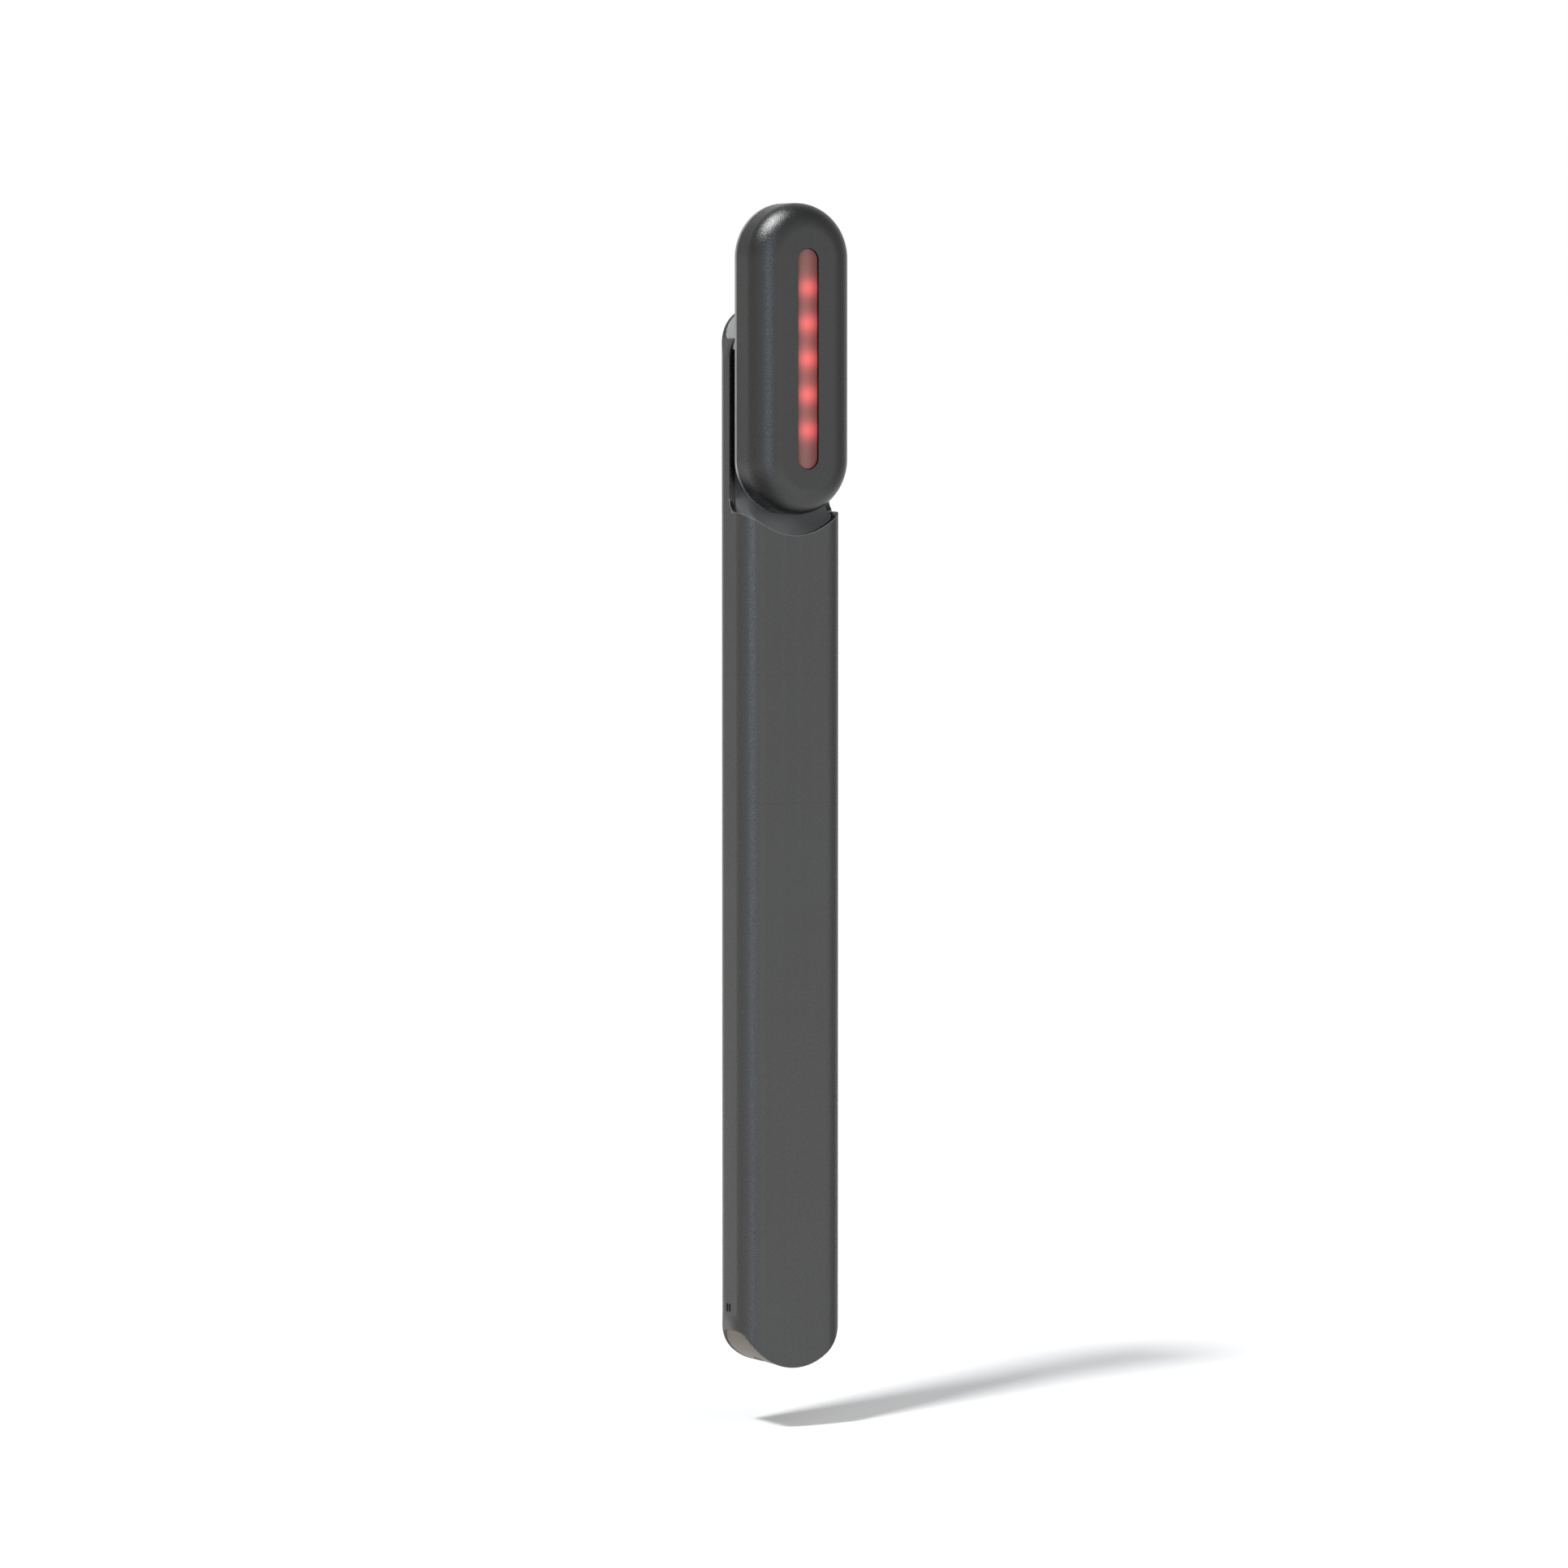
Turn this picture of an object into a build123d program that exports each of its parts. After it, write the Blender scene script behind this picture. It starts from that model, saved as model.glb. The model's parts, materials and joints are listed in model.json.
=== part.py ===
"""Handheld red light therapy wand with a swivelling treatment head.

Millimetres, +Z up along the handle towards the head. The treatment face looks along -Y and
the origin is the centre of the handle tube. The head is drawn in line with the handle.
"""
from build123d import *
import math
import os

# Handle tube, a rounded rectangular aluminium extrusion with both ends cut round
TUBE_LENGTH = 164.6
TUBE_WIDTH = 17.6
TUBE_DEPTH = 10.2
TUBE_CORNER = 3.3
TUBE_WALL = 1.0

# Head, a stadium shaped pod whose middle is the swivel axis
HEAD_LENGTH = 47.7
HEAD_SIDE_STEP = 0.3
HEAD_THICKNESS = 8.06
HEAD_ROUND_SHARE = 0.2412
HEAD_WALL = 0.9
HEAD_FRONT_WALL = 1.0
BACK_PLATE_THICKNESS = 0.6
BACK_PLATE_EDGE_BREAK = 0.12

# Window slot in the front of the head and the light behind it
WINDOW_END_MARGIN = 7.0
WINDOW_WIDTH = 3.5
WINDOW_EDGE_BREAK = 0.15
LENS_RECESS = 0.35
LENS_FLANGE_MARGIN = 1.1
LENS_FLANGE_THICKNESS = 0.7
SEAL_THICKNESS = 0.2
SEAL_INNER_MARGIN = 0.3
REFLECTOR_DEPTH = 2.1
REFLECTOR_LIP = 0.5
LED_COUNT = 5
LED_END_MARGIN = 5.95
LED_SIZE = 2.2
LED_HEIGHT = 0.9
LED_CUP_RADIUS = 0.8
LED_CUP_DEPTH = 0.35
LED_BOARD_THICKNESS = 0.8
LED_BOARD_MARGIN = 1.4
DRIVER_CHIP_HEIGHT = 0.9
# Centre along the board, centre across it, length and width, as shares of the board's
DRIVER_CHIP_SHARES = (
    (-0.36, 0.0, 0.09, 0.3),
    (-0.14, 0.22, 0.06, 0.18),
    (0.15, -0.2, 0.07, 0.2),
    (0.35, 0.0, 0.12, 0.36),
)

# Carrier ring in the head, with two bridges of which the lower holds a magnet
CARRIER_LEDGE = 0.6
BRIDGE_WIDTH = 4.4
BRIDGE_DEPTH = 1.45
MAGNET_REACH = 9.8
MAGNET_RADIUS = 1.4
MAGNET_THICKNESS = 1.0

# Electrode pins from the light board to the shell, and the warming film beside the window
PIN_GAP = 2.4
PIN_BARREL_RADIUS = 0.7
PIN_BARREL_HEIGHT = 1.4
PIN_PLUNGER_RADIUS = 0.4
FILM_THICKNESS = 0.15
FILM_WIDTH = 0.7
FILM_END_INSET = 1.85

# Recess at the top of the tube, where the head lies against the tongue
TONGUE_DEPTH = 4.85
HEAD_GAP = 1.17
LIP_RISE = 4.0
LIP_ROUND = 3.0
LIP_GAP = 0.3
CRADLE_GAP = 3.15
CRADLE_ARC = 10.0
CRADLE_FLANK_ANGLE = 30.0
CRADLE_CORNER = 1.0

# Plastic scoop that lines the recess
INSERT_SETBACK = 1.15
SCOOP_ROUND = 5.5
SCOOP_STEP = 0.05
INSERT_FOOT_HEIGHT = 6.0
INSERT_SHOULDER_RISE = 1.4

# Swivel: hollow shaft, flanged bush, friction washer, clip and stop pin. The boss that they
# run in takes a share of the tube's inner width, and the radii step in or out from it.
BOSS_SHARE = 1 / 3
BUSH_FLANGE_STEP = 0.3
SHAFT_FLANGE_STEP = 0.4
WASHER_STEP = 0.6
CLIP_STEP = 0.9
PIVOT_SCREW_STEP = 1.25
SHAFT_STEP = 2.2
STOP_PIN_STEP = 1.3
SHAFT_WALL_SHARE = 0.5
SHAFT_FLANGE_THICKNESS = 0.9
SHAFT_TAIL = 0.3
CLIP_THICKNESS = 0.36
CLIP_GROOVE_DEPTH = 0.4
CLIP_MOUTH = 2.2
BUSH_WALL = 0.75
BUSH_FLANGE_THICKNESS = 0.7
BUSH_REACH = 1.85
WASHER_THICKNESS = 0.45
STOP_PIN_RADIUS = 0.75
STOP_PIN_SETBACK = 0.07
STOP_PIN_BOSS_WALL = 0.7
STOP_SLOT_CLEARANCE = 0.1
PIVOT_SCREW_COUNT = 3
PIVOT_SCREW_SETBACK = 0.07

# Screws: small ones hold the pivot flange, larger ones the board and the insert
SMALL_SCREW_RADIUS = 0.4
SMALL_SCREW_HEAD_RADIUS = 0.72
SMALL_SCREW_HEAD_HEIGHT = 0.45
SCREW_RADIUS = 0.6
SCREW_HEAD_RADIUS = 1.15
SCREW_HEAD_HEIGHT = 0.7
SCREW_DRIVE_SHARE = 0.5
FLOOR_SCREW_BITE = 1.3
FOOT_SCREW_BITE = 3.4

# End caps and the charging socket
CAP_HEIGHT = 7.4
CAP_INSET = 0.05
CAP_SEAT_WALL = 0.6
SOCKET_WIDTH = 8.94
SOCKET_DEPTH = 3.16
SOCKET_WALL = 0.3
SOCKET_LENGTH = 8.6
SOCKET_INSET = 0.15
SOCKET_TONGUE_WIDTH = 6.7
SOCKET_TONGUE_DEPTH = 0.7
SOCKET_TONGUE_LENGTH = 6.0
SOCKET_BASE = 1.4

# Chassis, a channel that carries board, battery and motor inside the tube
CHASSIS_RAIL = 1.0
CHASSIS_FLOOR = 1.6
CHASSIS_END_WALL = 1.0
CHASSIS_RIB = 1.0
CHASSIS_RIB_HEIGHT = 3.2
CHASSIS_STUB_GAP = 0.6

# Main board and what is on it
BOARD_SHARE = 0.435
BOARD_THICKNESS = 0.8
SCREW_END_INSET = 4.4
SCREW_EDGE_INSET = 1.8
# Centre across the board, centre along it, width and length as shares of the board's, and
# height as a share of the tallest part
CHIP_HEIGHT = 2.2
CHIP_SHARES = (
    (0.0, 0.56, 0.42, 0.13, 0.41),
    (-0.22, 0.28, 0.24, 0.075, 0.36),
    (0.2, 0.27, 0.34, 0.105, 1.0),
    (0.28, 0.41, 0.12, 0.04, 0.5),
    (-0.3, 0.42, 0.1, 0.05, 0.5),
    (-0.26, 0.76, 0.3, 0.06, 0.64),
    (-0.3, 0.88, 0.16, 0.06, 0.4),
    (0.12, 0.76, 0.16, 0.05, 0.4),
)
INDICATOR_RISE = 9.3
INDICATOR_FORWARD = 1.03
INDICATOR_PITCH = 0.75
INDICATOR_WIDTH = 0.45
INDICATOR_HEIGHT = 1.25
INDICATOR_LED_SIZE = 0.7
INDICATOR_LED_HEIGHT = 1.3

# Battery, its pad and its two leads
BATTERY_FRONT_GAP = 0.8
BATTERY_ROUND = 1.2
BATTERY_PAD = 0.5
BATTERY_SIDE_GAP = 0.5
BATTERY_END_GAP = 1.4
LEAD_RADIUS = 0.4
LEAD_SPREAD = 2.5
LEAD_BEND = 0.8
LEAD_LANDING = 1.2

# Vibration motor with an eccentric weight on its shaft
MOTOR_FRONT_GAP = 0.1
MOTOR_LENGTH = 8.0
MOTOR_NOSE_RADIUS = 1.2
MOTOR_NOSE = 0.4
MOTOR_BOOT = 0.4
MOTOR_BOOT_INSET = 0.5
MOTOR_BOOT_FOOT = 4.8
MOTOR_SHAFT_RADIUS = 0.4
MOTOR_SHAFT_LENGTH = 9.4
MOTOR_SHAFT_SEAT = 5.0
SHAFT_END_GAP = 1.5
WEIGHT_SETBACK = 0.2
WEIGHT_LENGTH = 3.2
WEIGHT_HUB_RADIUS = 0.9
WEIGHT_GAP = 0.3
MOTOR_LEAD_RADIUS = 0.25
MOTOR_LEAD_SPREAD = 0.8
MOTOR_LEAD_DROP = 0.5
MOTOR_LEAD_BEND = 0.4

# Flat cable from the board through the hollow shaft, its plug and the turn sensor on it
RIBBON_WIDTH = 2.4
RIBBON_THICKNESS = 0.5
RIBBON_GAP = 0.35
RIBBON_STEM_GAP = 0.4
SENSOR_WIDTH = 2.4
SENSOR_LENGTH = 1.4
SENSOR_THICKNESS = 0.9
PLUG_WIDTH = 3.4
PLUG_HEIGHT = 1.2

# Clearances, and one overrun that serves every cut
FIT = 0.05
SLIDE_FIT = 0.1
INSERT_FIT = 0.15
RUN_FIT = 0.05
SHAFT_FIT = 0.03
TIGHT_FIT = 0.02
OVERRUN = 5.0

# Heights of the handle
BOTTOM_Z = -TUBE_LENGTH / 2
TOP_Z = TUBE_LENGTH / 2
PIVOT_Z = TOP_Z - TUBE_WIDTH / 2
CRADLE_LOW_Z = PIVOT_Z - HEAD_LENGTH / 2 - CRADLE_GAP
CAP_TOP_Z = BOTTOM_Z + CAP_HEIGHT
TOP_CAP_LOW_Z = PIVOT_Z + INSERT_SHOULDER_RISE + FIT
INSERT_FOOT_Z = CRADLE_LOW_Z - INSERT_FOOT_HEIGHT
INDICATOR_Z = BOTTOM_Z + INDICATOR_RISE

# Inside of the tube
INNER_WIDTH = TUBE_WIDTH - 2 * TUBE_WALL
INNER_DEPTH = TUBE_DEPTH - 2 * TUBE_WALL
INNER_CORNER = TUBE_CORNER - TUBE_WALL

# Depths of the tongue, the plate of the insert and the back of the head, from the tube's back
TONGUE_FRONT_Y = TUBE_DEPTH / 2 - TONGUE_DEPTH
INSERT_FACE_Y = TONGUE_FRONT_Y + INSERT_SETBACK
HEAD_BACK_Y = TONGUE_FRONT_Y - HEAD_GAP

# Depths through the head, from its front to its back
HEAD_FRONT_Y = HEAD_BACK_Y - HEAD_THICKNESS
CAVITY_FRONT_Y = HEAD_FRONT_Y + HEAD_FRONT_WALL
LENS_FLANGE_Y = CAVITY_FRONT_Y + SEAL_THICKNESS
LENS_BACK_Y = LENS_FLANGE_Y + LENS_FLANGE_THICKNESS
LED_BOARD_FRONT_Y = LENS_BACK_Y + REFLECTOR_DEPTH
LED_BOARD_BACK_Y = LED_BOARD_FRONT_Y + LED_BOARD_THICKNESS
PLATE_FRONT_Y = HEAD_BACK_Y - BACK_PLATE_THICKNESS
FLANGE_FRONT_Y = PLATE_FRONT_Y - SHAFT_FLANGE_THICKNESS

# Lengths and widths of the head
HEAD_WIDTH = TUBE_WIDTH - 2 * HEAD_SIDE_STEP
HEAD_EDGE_ROUND = HEAD_WIDTH * HEAD_ROUND_SHARE
WINDOW_LENGTH = HEAD_LENGTH - 2 * WINDOW_END_MARGIN
LED_PITCH = (WINDOW_LENGTH - 2 * LED_END_MARGIN) / (LED_COUNT - 1)
PIN_REACH = WINDOW_LENGTH / 2 + PIN_GAP
FILM_LENGTH = WINDOW_LENGTH - 2 * FILM_END_INSET
CAVITY_LENGTH = HEAD_LENGTH - 2 * HEAD_WALL
CAVITY_WIDTH = HEAD_WIDTH - 2 * HEAD_WALL
LENS_LENGTH = WINDOW_LENGTH + 2 * LENS_FLANGE_MARGIN
LENS_WIDTH = WINDOW_WIDTH + 2 * LENS_FLANGE_MARGIN
LED_BOARD_LENGTH = CAVITY_LENGTH - 2 * LED_BOARD_MARGIN
LED_BOARD_WIDTH = CAVITY_WIDTH - 2 * LED_BOARD_MARGIN

# Radii of the swivel
BOSS_RADIUS = INNER_WIDTH * BOSS_SHARE
BUSH_FLANGE_RADIUS = BOSS_RADIUS - BUSH_FLANGE_STEP
SHAFT_FLANGE_RADIUS = BOSS_RADIUS - SHAFT_FLANGE_STEP
WASHER_RADIUS = BOSS_RADIUS - WASHER_STEP
CLIP_RADIUS = BOSS_RADIUS - CLIP_STEP
PIVOT_SCREW_CIRCLE = BOSS_RADIUS - PIVOT_SCREW_STEP
SHAFT_RADIUS = BOSS_RADIUS - SHAFT_STEP
SHAFT_BORE_RADIUS = SHAFT_RADIUS * SHAFT_WALL_SHARE
RIBBON_STEM_RADIUS = SHAFT_BORE_RADIUS - RIBBON_STEM_GAP
STOP_PIN_REACH = BOSS_RADIUS + STOP_PIN_STEP

# Depths through the swivel, from the head's back plate to the end of the shaft
WASHER_FRONT_Y = HEAD_BACK_Y + RUN_FIT
BUSH_FRONT_Y = WASHER_FRONT_Y + WASHER_THICKNESS
BOSS_FRONT_Y = BUSH_FRONT_Y + BUSH_FLANGE_THICKNESS
BUSH_BACK_Y = BOSS_FRONT_Y + BUSH_REACH
CLIP_FRONT_Y = BUSH_BACK_Y + RUN_FIT
CLIP_BACK_Y = CLIP_FRONT_Y + CLIP_THICKNESS
SHAFT_BACK_Y = CLIP_BACK_Y + SHAFT_TAIL
LIP_Y = HEAD_BACK_Y + LIP_GAP
BUSH_BORE_RADIUS = SHAFT_RADIUS + SHAFT_FIT
BUSH_RADIUS = BUSH_BORE_RADIUS + BUSH_WALL

# Chassis, and the motor that hangs from its top wall
CHASSIS_LOW_Z = CAP_TOP_Z + FIT
CHASSIS_TOP_Z = INSERT_FOOT_Z - FIT
BAY_TOP_Z = CHASSIS_TOP_Z - CHASSIS_END_WALL
BAY_WIDTH = INNER_WIDTH - 2 * SLIDE_FIT - 2 * CHASSIS_RAIL
FLOOR_Y = INNER_DEPTH / 2 - SLIDE_FIT - CHASSIS_FLOOR
SHAFT_TOP_Z = BAY_TOP_Z - SHAFT_END_GAP
SHAFT_LOW_Z = SHAFT_TOP_Z - MOTOR_SHAFT_LENGTH
NOSE_TOP_Z = SHAFT_LOW_Z - FIT + MOTOR_SHAFT_SEAT
MOTOR_TOP_Z = NOSE_TOP_Z - MOTOR_NOSE
MOTOR_LOW_Z = MOTOR_TOP_Z - MOTOR_LENGTH
MOTOR_RADIUS = (FLOOR_Y + INNER_DEPTH / 2 - MOTOR_FRONT_GAP) / 2 - MOTOR_BOOT
MOTOR_Y = FLOOR_Y - MOTOR_BOOT - MOTOR_RADIUS
MOTOR_LEAD_Z = MOTOR_LOW_Z - MOTOR_LEAD_DROP
WEIGHT_LOW_Z = NOSE_TOP_Z + WEIGHT_GAP
WEIGHT_RADIUS = MOTOR_RADIUS - WEIGHT_SETBACK
RIB_LOW_Z = MOTOR_LOW_Z - FIT - CHASSIS_RIB

# Board, socket and battery; board and battery share the length that is left below the motor
BOARD_LOW_Z = CHASSIS_LOW_Z + FIT
BATTERY_TOP_Z = RIB_LOW_Z - FIT
BOARD_LENGTH = (BATTERY_TOP_Z - BOARD_LOW_Z - BATTERY_END_GAP) * BOARD_SHARE
BOARD_TOP_Z = BOARD_LOW_Z + BOARD_LENGTH
BOARD_WIDTH = BAY_WIDTH - 2 * SLIDE_FIT
BOARD_FRONT_Y = FLOOR_Y - BOARD_THICKNESS
SOCKET_Y = BOARD_FRONT_Y - SOCKET_DEPTH / 2 - TIGHT_FIT
SCREW_SIDE = BOARD_WIDTH / 2 - SCREW_EDGE_INSET
INDICATOR_Y = BOARD_FRONT_Y - INDICATOR_FORWARD
BATTERY_LOW_Z = BOARD_TOP_Z + BATTERY_END_GAP
BATTERY_WIDTH = BAY_WIDTH - 2 * BATTERY_SIDE_GAP
BATTERY_BACK_Y = FLOOR_Y - BATTERY_PAD
BATTERY_FRONT_Y = BATTERY_FRONT_GAP - INNER_DEPTH / 2
RIBBON_BACK_Y = INNER_DEPTH / 2 - RIBBON_GAP
RIBBON_Y = RIBBON_BACK_Y - RIBBON_THICKNESS
RIBBON_LOW_Z = BOARD_TOP_Z - SCREW_END_INSET
SENSOR_FRONT_Y = RIBBON_Y - SENSOR_THICKNESS


def upright(sketch, low_z, high_z):
    """A sketch of the plan, drawn up from one height to another."""
    return Pos(0, 0, low_z) * extrude(sketch, high_z - low_z)


def slab(sketch, front_y, back_y):
    """A sketch of the front view, given its depth between two planes."""
    return Pos(0, back_y, 0) * extrude(Plane.XZ * sketch, back_y - front_y)


def disc(radius, front_y, back_y, x=0, z=PIVOT_Z):
    """A round piece whose axis runs front to back."""
    return slab(Pos(x, z) * Circle(radius), front_y, back_y)


def stadium(length, width):
    """An upright stadium about the swivel axis, for the front view."""
    return Pos(0, PIVOT_Z) * Rot(0, 0, 90) * SlotOverall(length, width)


def block(x_pair, y_pair, z_pair):
    """A plain block between three pairs of planes."""
    pairs = (x_pair, y_pair, z_pair)
    size = [high - low for low, high in pairs]
    middle = [(high + low) / 2 for low, high in pairs]
    return Pos(*middle) * Box(*size)


def about(middle, size):
    """The pair of planes that lie half a size each side of the middle."""
    return (middle - size / 2, middle + size / 2)


def edges_at(shape, axis, place):
    """Edges of a shape that lie wholly in the plane square to an axis."""
    return shape.edges().filter_by_position(axis, place - TIGHT_FIT, place + TIGHT_FIT)


def tube_section(gap=0):
    """The space inside the tube, less a gap all round."""
    return RectangleRounded(INNER_WIDTH - 2 * gap, INNER_DEPTH - 2 * gap, INNER_CORNER - gap)


def cap_seat(low_z, high_z, gap=0):
    """The wider seat milled inside each end of the tube, less a gap all round."""
    wall = CAP_SEAT_WALL + gap
    section = RectangleRounded(TUBE_WIDTH - 2 * wall, TUBE_DEPTH - 2 * wall, TUBE_CORNER - wall)
    return upright(section, low_z, high_z)


def round_ends(inset=0):
    """The long stadium, seen from the front, that both tube ends are cut to."""
    outline = Rot(0, 0, 90) * SlotOverall(TUBE_LENGTH - 2 * inset, TUBE_WIDTH - 2 * inset)
    return slab(outline, -TUBE_DEPTH, TUBE_DEPTH)


def cradle_outline(low_z, top_z):
    """Front view of the recess: a hollow arc whose straight flanks rise to the side walls."""
    side = TUBE_WIDTH / 2 + OVERRUN
    angle = math.radians(CRADLE_FLANK_ANGLE)
    arc_x = CRADLE_ARC * math.sin(angle)
    arc_z = low_z + CRADLE_ARC * (1 - math.cos(angle))
    side_z = arc_z + (side - arc_x) * math.tan(angle)
    sides = Polyline(
        (arc_x, arc_z), (side, side_z), (side, top_z), (-side, top_z), (-side, side_z), (-arc_x, arc_z)
    )
    arc = ThreePointArc((-arc_x, arc_z), (0, low_z), (arc_x, arc_z))
    return make_face(sides.edges() + arc.edges())


def cradle_cutter(back_y, low_z, top_z, corner):
    """Cutter for the recess, with its lower back edge rounded."""
    cutter = slab(cradle_outline(low_z, top_z), -TUBE_DEPTH, back_y)
    side = TUBE_WIDTH / 2 + OVERRUN
    low_edges = [
        edge
        for edge in edges_at(cutter, Axis.Y, back_y)
        if edge.center().Z < top_z - TIGHT_FIT and abs(edge.center().X) < side - TIGHT_FIT
    ]
    return fillet(low_edges, corner)


def recess():
    """What is milled off the front of the tube, under the head and behind it."""
    lip_z = PIVOT_Z + LIP_RISE
    pocket = cradle_cutter(TONGUE_FRONT_Y, CRADLE_LOW_Z, lip_z, CRADLE_CORNER)
    top_edges = [
        edge
        for edge in edges_at(pocket, Axis.Y, TONGUE_FRONT_Y)
        if edge.center().Z > lip_z - TIGHT_FIT
    ]
    pocket = fillet(top_edges, LIP_ROUND)
    clear = slab(cradle_outline(CRADLE_LOW_Z, TOP_Z + OVERRUN), -TUBE_DEPTH, LIP_Y)
    return pocket + clear


def indicator_bars(grow=0):
    """Two upright pill shaped bars that run inwards through the left side wall."""
    pill = Rot(0, 0, 90) * SlotOverall(INDICATOR_HEIGHT + 2 * grow, INDICATOR_WIDTH + 2 * grow)
    depth = TUBE_WIDTH / 2 - BOARD_WIDTH / 2
    bars = []
    for side in (-1, 1):
        y = INDICATOR_Y + side * INDICATOR_PITCH / 2
        bars.append(Pos(-TUBE_WIDTH / 2, y, INDICATOR_Z) * extrude(Plane.YZ * pill, depth))
    return bars


def handle_tube():
    section = RectangleRounded(TUBE_WIDTH, TUBE_DEPTH, TUBE_CORNER)
    tube = upright(section, BOTTOM_Z, TOP_Z) & round_ends()
    tube -= upright(tube_section(), BOTTOM_Z - OVERRUN, TOP_Z + OVERRUN)
    tube -= cap_seat(BOTTOM_Z - OVERRUN, CAP_TOP_Z + FIT)
    tube -= cap_seat(TOP_CAP_LOW_Z - FIT, TOP_Z + OVERRUN)
    tube -= recess()
    for bar in indicator_bars(grow=FIT):
        tube -= bar
    return tube


def socket_outline(inset=0):
    """Plan of the charging socket, in front of the main board."""
    return Pos(0, SOCKET_Y) * SlotOverall(SOCKET_WIDTH - 2 * inset, SOCKET_DEPTH - 2 * inset)


def bottom_cap():
    """Plug in the lower end, with the hole for the charging socket."""
    cap = cap_seat(BOTTOM_Z, CAP_TOP_Z, FIT) & round_ends(CAP_INSET)
    return cap - upright(socket_outline(-FIT), BOTTOM_Z - OVERRUN, CAP_TOP_Z + OVERRUN)


def top_cap():
    """Plug in the upper end, cut back for the head and hollowed for the pivot boss."""
    cap = cap_seat(TOP_CAP_LOW_Z, TOP_Z, FIT) & round_ends(CAP_INSET)
    cap &= block(about(0, TUBE_WIDTH), (LIP_Y, TUBE_DEPTH), (TOP_CAP_LOW_Z, TOP_Z))
    return cap - disc(BOSS_RADIUS + FIT, -TUBE_DEPTH, TUBE_DEPTH)


def ribbon_channel(front_y, top_z):
    """Channel for the flat cable, open to the back wall of the tube."""
    width = RIBBON_WIDTH + 2 * SLIDE_FIT
    return block(about(0, width), (front_y, TUBE_DEPTH), (RIBBON_LOW_Z - SLIDE_FIT, top_z))


def foot_screw_holes(low_z, high_z):
    hole = Circle(SCREW_RADIUS + TIGHT_FIT)
    return [upright(Pos(side * SCREW_SIDE, 0) * hole, low_z, high_z) for side in (-1, 1)]


def cradle_insert():
    """Scoop that lines the recess; its upper plate carries the pivot and the stop pin."""
    insert = upright(tube_section(INSERT_FIT), INSERT_FOOT_Z, PIVOT_Z + INSERT_SHOULDER_RISE)
    low_z = CRADLE_LOW_Z - SCOOP_STEP
    insert -= cradle_cutter(INSERT_FACE_Y, low_z, TOP_Z + OVERRUN, SCOOP_ROUND)
    insert += disc(BOSS_RADIUS, BOSS_FRONT_Y, INNER_DEPTH / 2 - INSERT_FIT)
    pin_z = PIVOT_Z - STOP_PIN_REACH
    pin_boss = STOP_PIN_RADIUS + STOP_PIN_BOSS_WALL
    insert += disc(pin_boss, BOSS_FRONT_Y, SENSOR_FRONT_Y - FIT, z=pin_z)
    insert -= disc(BUSH_RADIUS + TIGHT_FIT, -TUBE_DEPTH, TUBE_DEPTH)
    insert -= disc(CLIP_RADIUS + SLIDE_FIT, BUSH_BACK_Y, TUBE_DEPTH)
    insert -= disc(STOP_PIN_RADIUS + TIGHT_FIT, -TUBE_DEPTH, TUBE_DEPTH, z=pin_z)
    insert -= ribbon_channel(SENSOR_FRONT_Y - FIT, PIVOT_Z)
    for hole in foot_screw_holes(INSERT_FOOT_Z - OVERRUN, INSERT_FOOT_Z + FOOT_SCREW_BITE):
        insert -= hole
    return insert


def board_screw_places():
    """Where the two board screws stand, at opposite corners of the board."""
    return [
        (-SCREW_SIDE, BOARD_LOW_Z + SCREW_END_INSET),
        (SCREW_SIDE, BOARD_TOP_Z - SCREW_END_INSET),
    ]


def chassis_walls():
    """Rib between battery and motor, and the two stubs between board and battery."""
    depth = (FLOOR_Y - CHASSIS_RIB_HEIGHT, FLOOR_Y)
    rib = block(about(0, BAY_WIDTH), depth, (RIB_LOW_Z, RIB_LOW_Z + CHASSIS_RIB))
    way = 2 * (MOTOR_LEAD_SPREAD + MOTOR_LEAD_RADIUS + SLIDE_FIT)
    rib -= block(about(0, way), depth, (RIB_LOW_Z - OVERRUN, RIB_LOW_Z + OVERRUN))
    walls = [rib]
    inner_x = LEAD_SPREAD + LEAD_RADIUS + CHASSIS_STUB_GAP
    stub_z = (BOARD_TOP_Z + FIT, BATTERY_LOW_Z - FIT)
    for stub_x in ((-BAY_WIDTH / 2, -inner_x), (inner_x, BAY_WIDTH / 2)):
        walls.append(block(stub_x, depth, stub_z))
    return walls


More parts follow.
